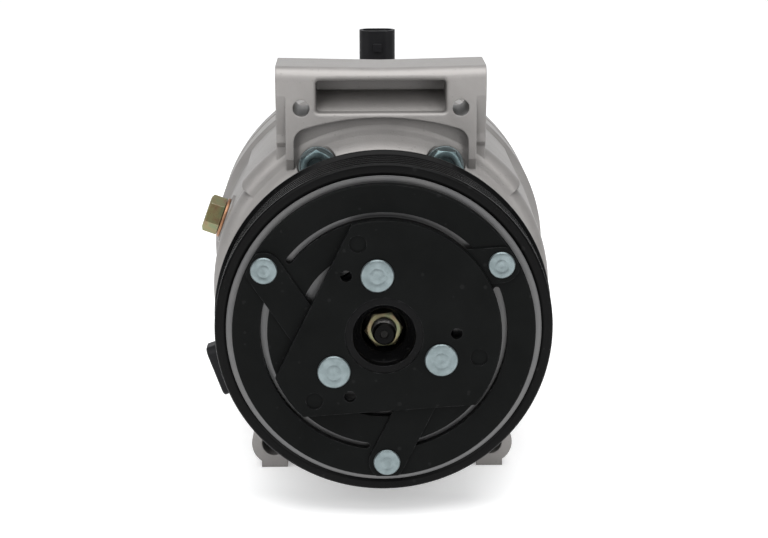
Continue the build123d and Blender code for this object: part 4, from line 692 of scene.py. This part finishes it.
# ---- Rotor --------------------------------------------------------------------------------------
# A forged steel rotor, black all over but for its friction face, which is faced in the lathe after
# painting and shows bright through the slots of the armature and as a ring round it.
def build_rotor_finish():
    """Bare turned steel where the face looks forward at the front plane, black paint elsewhere."""
    material, tree, shader = new_finish("rotor_face_and_paint", specular_ior_level=0.1)
    place = add(tree, "ShaderNodeSeparateXYZ", {0: add(tree, "ShaderNodeTexCoord").outputs["Object"]})
    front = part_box("rotor")[0].y
    on_face = sum_of(tree, place.outputs[1], front + 0.15 * mm, "LESS_THAN")
    marks = use(tree, turning_lines, Distance=radius_of(tree), Lines=2200.0)
    grain = use(tree, surface_grain, Grain=1500.0, Clouds=80.0, Pits=500.0)
    edge = use(tree, edge_wear_and_shade, Breaks=500.0, Reach=0.0003)
    steel = blend_of(tree, range_of(tree, marks["Tone"], 0, 1, 0.3, 0.7), (0.085, 0.085, 0.086, 1),
                     (0.15, 0.15, 0.151, 1))
    steel = blend_of(tree, range_of(tree, grain["Cloud"], 0.35, 0.0, 0.35, 0.6), steel, (0.15, 0.145, 0.14, 1))
    paint = blend_of(tree, range_of(tree, grain["Cloud"], 0, 1, 0.3, 0.7), (0.005, 0.005, 0.0055, 1),
                     (0.009, 0.009, 0.0095, 1))
    color = blend_of(tree, on_face, paint, steel)
    tree.links.new(on_face, shader.inputs["Metallic"])
    smoother = sum_of(tree, on_face, -0.02, "MULTIPLY")
    rough = sum_of(tree, smoother, range_of(tree, marks["Tone"], 0.34, 0.46, 0.3, 0.7))
    connect(tree, shader, color, rough, marks["Tone"], edge["Normal"], distance=0.00002, strength=0.6)
    return material


dress(build_rotor_finish(), "rotor")


# ---- Pulley rim ---------------------------------------------------------------------------------
# The belt track is rolled from steel sheet: five V grooves 3.56 mm apart between a small front lip
# and a taller rear flange, welded to the rotor and painted black over faint rolling marks.
rim_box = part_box("pulley_rim")
groove_count = 5
groove_pitch = 3.56 * mm
groove_depth = 2.7 * mm
track_radius = 65.0 * mm
flange_radius = 66.4 * mm
rim_inside = 60.52 * mm


def rim_outline():
    """Once round the section: the front lip, five V grooves with rounded lands and roots, the rear
    flange, and straight back inside."""
    start = -groove_count * groove_pitch / 2
    front, rear = rim_box[0].y, rim_box[1].y
    lands = np.arange(groove_count)[:, None] * groove_pitch + start
    shape = np.array([(0.0, 0.35, 0.14), (-1.0, 1.33, 0.3), (-1.0, 2.23, 0.3), (0.0, 3.21, 0.14)])
    grooves = np.stack([track_radius + np.tile(shape[:, 0], (groove_count, 1)) * groove_depth,
                        lands + shape[:, 1] * mm, np.tile(shape[:, 2], (groove_count, 1)) * mm], -1)
    lip = [(rim_inside, front + 0.6 * mm, 0.1 * mm), (rim_inside + 1.2 * mm, front, 0.5 * mm),
           (track_radius - 0.7 * mm, front, 0.4 * mm), (track_radius, front + 0.7 * mm, 0.4 * mm)]
    flange = [(flange_radius, -start + 0.9 * mm, 0.3 * mm), (flange_radius, rear - 0.8 * mm, 0.4 * mm),
              (flange_radius - 0.8 * mm, rear, 0.4 * mm), (rim_inside, rear, 0.2 * mm)]
    return lip + [tuple(p) for p in grooves.reshape(-1, 3)] + flange


rim_black = build_black_paint("rim_black", (0.0012, 0.0012, 0.0012, 1), (0.0024, 0.0024, 0.0025, 1),
                              (0.26, 0.36), 0.0, wear_and_highlight_tone=(0.03, 0.03, 0.031, 1), gloss=0.08)
fit(shell("belt_track", [turned_points(rounded(rim_outline(), 5), 360)], sharp=50.0),
    "pulley", "black_paint", rim_black, "pulley_rim")


# ---- Armature plate, leaf springs and driver plate ----------------------------------------------
# Three stampings from sheet steel, coated black: the flat armature with its flux slots, the leaf
# springs that let it move by half a millimetre, and the driver plate on the hub.
plate_black = build_black_paint("plate_black", (0.0026, 0.0029, 0.0028, 1), (0.0044, 0.0048, 0.0047, 1),
                                (0.38, 0.52), 0.0)
dress(plate_black, "armature_plate", "leaf_springs", "driver_plate")


# ---- Rivets -------------------------------------------------------------------------------------
# Six zinc plated steel rivets. Their flat heads have a small bevel, a faint ring from the snap tool
# and a shallow dimple in the middle; three hold the leaves to the armature and three to the driver.
outer_box, inner_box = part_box("outer_rivets"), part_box("inner_rivets")
leaf_front, driver_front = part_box("leaf_springs")[0].y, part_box("driver_plate")[0].y
outer_head, outer_shank, outer_circle, outer_angle = 5.15 * mm, 2.6 * mm, 51.85 * mm, 31.05
inner_head, inner_shank, inner_circle, inner_angle = 6.35 * mm, 3.2 * mm, 23.78 * mm, 96.15


def rivet_line(head, top, seat, shank, tail):
    """Half outline from the middle of the head to the middle of the tail."""
    bevel = 0.45 * mm
    return np.array([
        (0.0, top + 0.05 * mm), (head * 0.16, top + 0.04 * mm), (head * 0.20, top),
        (head * 0.42, top - 0.02 * mm), (head * 0.45, top + 0.05 * mm), (head * 0.49, top + 0.05 * mm),
        (head * 0.52, top - 0.02 * mm), (head - bevel * 1.4, top), (head - bevel * 0.8, top + 0.06 * mm),
        (head - 0.1 * mm, top + bevel), (head, top + bevel + 0.1 * mm), (head, seat - 0.05 * mm),
        (head - 0.05 * mm, seat), (shank, seat), (shank, tail - 0.1 * mm), (shank - 0.1 * mm, tail),
        (0.0, tail)])


def three_round(line, circle, angle):
    """A rivet's outline turned about its axis, three times, a third of a turn apart on its circle."""
    one = turned_points(line, 80)
    return [at_angle(one, circle, angle + 120 * k) for k in range(3)]


outer_line = rivet_line(outer_head, outer_box[0].y + 0.02 * mm, leaf_front, outer_shank, outer_box[1].y)
fit(shell("armature_rivets", three_round(outer_line, outer_circle, outer_angle)),
    "armature", "zinc_rivet", clear_zinc, "outer_rivets")
inner_line = rivet_line(inner_head, inner_box[0].y + 0.02 * mm, driver_front, inner_shank, inner_box[1].y)
fit(shell("driver_rivets", three_round(inner_line, inner_circle, inner_angle)),
    "shaft", "zinc_rivet", clear_zinc, "inner_rivets")


# ---- Hub ----------------------------------------------------------------------------------------
# Turned steel hub, spun over into the driver plate at its rim and keyed to the shaft. Its bowl, for
# the nut, is left glossy by the coat that pools in it.
hub_black = build_black_paint("hub_black", (0.0016, 0.0016, 0.0017, 1), (0.0030, 0.0030, 0.0032, 1),
                              (0.10, 0.18), 0.0, grain_size=500.0, gloss=0.07)
dress(hub_black, "clutch_hub")


# ---- Shaft, nut and key -------------------------------------------------------------------------
# The induction-hardened shaft ends in a fine-threaded stub, and a yellow zinc plated nut draws the
# hub onto it. A square key drives the hub.
shaft_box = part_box("drive_shaft")
nut_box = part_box("shaft_nut")
thread_radius = 4.5 * mm
thread_pitch = 1.25 * mm
thread_depth = 0.6 * mm
thread_end = -2.0 * mm
hub_seat_radius = 6.0 * mm
collar_radius = 6.8 * mm
journal_radius = 7.5 * mm
keyway_start, keyway_stop = 1.0 * mm, 8.0 * mm
keyway_half, keyway_floor = 1.52 * mm, 4.5 * mm


def wave(phase):
    """A triangle wave: 0 at whole numbers and 1 halfway."""
    return 1 - np.abs(2 * (phase % 1.0) - 1)


def shaft_grid(columns=120):
    """Radius is the turned outline's, less a helical V in the stub, where the triangle wave of y over
    the pitch less the angle over a turn gives the depth. The keyway flattens the top of its seat."""
    tip = shaft_box[0].y
    outline = np.array([
        (0.0, tip + 0.8 * mm), (1.3 * mm, tip + 0.7 * mm), (1.7 * mm, tip + 0.05 * mm), (2.1 * mm, tip),
        (thread_radius - 0.9 * mm, tip), (thread_radius - 0.1 * mm, tip + 0.9 * mm)])
    stub = np.arange(tip + 1.0 * mm, thread_end, thread_pitch / 14)
    stub = np.column_stack([np.full(len(stub), thread_radius), stub])
    seat = np.linspace(-0.8 * mm, 8.4 * mm, 24)
    seat = np.column_stack([np.full(len(seat), hub_seat_radius), seat])
    rear = shaft_box[1].y
    rest = np.array([(collar_radius, 8.6 * mm), (collar_radius, 14.2 * mm), (journal_radius, 14.6 * mm),
                     (journal_radius, rear - 0.6 * mm), (6.9 * mm, rear), (0.0, rear)])
    line = np.vstack([outline, stub, [(thread_radius, -1.0 * mm)], seat, rest])
    angle = np.arange(columns) * 2 * math.pi / columns
    radius = np.repeat(line[:, 0][:, None], columns, 1)
    y = np.repeat(line[:, 1][:, None], columns, 1)
    cut = wave(y / thread_pitch - angle / (2 * math.pi))
    fade = np.clip((y - tip - 0.6 * mm) / (0.8 * mm), 0, 1) * np.clip((thread_end - y) / (1.2 * mm), 0, 1)
    on_stub = (line[:, 0] >= thread_radius - 0.1 * mm)[:, None] & (y < thread_end)
    radius = radius - np.where(on_stub, thread_depth * fade * np.clip(cut * 1.25 - 0.12, 0, 1), 0)
    points = np.stack([radius * np.cos(angle), y, radius * np.sin(angle)], -1)
    in_length = (y > keyway_start) & (y < keyway_stop)
    key_seat = in_length & (np.abs(points[..., 0]) < keyway_half) & (points[..., 2] > keyway_floor)
    points[..., 2] = np.where(key_seat, keyway_floor, points[..., 2])
    return points


def build_stub_steel():
    """Shaft steel: darker towards the oiled tip, with painted shade in the thread roots and other hollows,
    bright on the journals.
    """
    material, tree, shader = new_finish("shaft_steel", metallic=1.0)
    place = add(tree, "ShaderNodeSeparateXYZ", {0: add(tree, "ShaderNodeTexCoord").outputs["Object"]})
    grain = use(tree, surface_grain, Grain=2400.0, Clouds=240.0, Pits=700.0)
    edge = use(tree, edge_wear_and_shade, Breaks=900.0, Reach=0.0002)
    marks = use(tree, turning_lines, Distance=place.outputs[1], Lines=2600.0)
    color = blend_of(tree, range_of(tree, marks["Tone"], 0, 1, 0.3, 0.7),
                     (0.40, 0.39, 0.38, 1), (0.56, 0.55, 0.54, 1))
    color = blend_of(tree, range_of(tree, place.outputs[1], 1.0, 0.0, shaft_box[0].y + 1.4 * mm,
                                    shaft_box[0].y + 3.4 * mm), color, (0.006, 0.006, 0.006, 1))
    # Painted shade: darker in the thread roots and other corners, from the ambient occlusion.
    color = blend_of(tree, range_of(tree, edge["Open"], 0.8, 0.0, 0.2, 0.9), color, (0.05, 0.048, 0.045, 1))
    connect(tree, shader, color, range_of(tree, grain["Cloud"], 0.25, 0.42, 0.3, 0.7), grain["Height"],
            edge["Normal"], distance=0.00002, strength=0.5)
    return material


fit(shell("shaft_with_thread", [shaft_grid()], sharp=40.0),
    "shaft", "turned_steel", build_stub_steel(), "drive_shaft")
nut_flats = 13.0 * mm
nut_turn = 36.0


def nut_outline():
    """Once round the section of the nut: coned face, corners, coned seat, and the smooth bore."""
    flats, corner = nut_flats, nut_flats / math.sqrt(3)
    face, seat = nut_box[0].y, nut_box[1].y
    rise = (corner - flats * 0.48) * math.tan(math.radians(28))
    cone = np.linspace(0, 1, 7)
    front = np.column_stack([flats * 0.48 + (corner - flats * 0.48) * cone, face + rise * cone])
    back = np.column_stack([flats * 0.48 + (corner - flats * 0.48) * cone[::-1], seat - rise * cone[::-1]])
    bore_steps = np.linspace(seat - 0.4 * mm, face + 0.4 * mm, 40)
    bore = np.column_stack([np.full(len(bore_steps), thread_radius + 0.02 * mm), bore_steps])
    mouth = np.array([(thread_radius + 0.42 * mm, seat)])
    return np.vstack([front, back, mouth, bore, [(thread_radius + 0.42 * mm, face)]])


fit(shell("nut_body", [turned_points(nut_outline(), 120, nut_flats, None, nut_turn)]),
    "shaft", "yellow_zinc", yellow_zinc, "shaft_nut")
dress(ground_steel, "drive_key")


# ---- Swash and wobble plate ---------------------------------------------------------------------
# Inside the case: the lug plate pressed on the shaft, the swash hub that tilts on its ball sleeve,
# and the aluminium wobble plate on it, which a fixed pin keeps from turning.
dress(ground_steel, "lug_plate", "hinge_ball", "swash_hub", "guide_pin")


# ---- Pistons and rods ---------------------------------------------------------------------------
# Five turned aluminium pistons, each in its own bore of the block, with fine tool rings round them.
# Each has a steel rod whose ball is crimped into its crown.
def build_piston_aluminium():
    """Turned aluminium with tool rings along the shaft direction."""
    material, tree, shader = new_finish("turned_aluminium", metallic=1.0)
    place = add(tree, "ShaderNodeSeparateXYZ", {0: add(tree, "ShaderNodeTexCoord").outputs["Object"]})
    marks = use(tree, turning_lines, Distance=place.outputs[1], Lines=3600.0)
    grain = use(tree, surface_grain, Grain=2600.0, Clouds=110.0, Pits=600.0)
    color = blend_of(tree, range_of(tree, marks["Tone"], 0, 1, 0.3, 0.7),
                     (0.58, 0.58, 0.59, 1), (0.74, 0.74, 0.75, 1))
    color = blend_of(tree, range_of(tree, grain["Cloud"], 0.25, 0, 0.35, 0.6), color, (0.42, 0.42, 0.43, 1))
    connect(tree, shader, color, range_of(tree, marks["Tone"], 0.22, 0.36, 0.3, 0.7), marks["Tone"],
            distance=0.00002, strength=0.5)
    return material


piston_aluminium = build_piston_aluminium()
dress(piston_aluminium, "wobble_plate", *[f"piston_{k}" for k in range(1, 6)])
dress(ground_steel, *[f"piston_rod_{k}" for k in range(1, 6)])
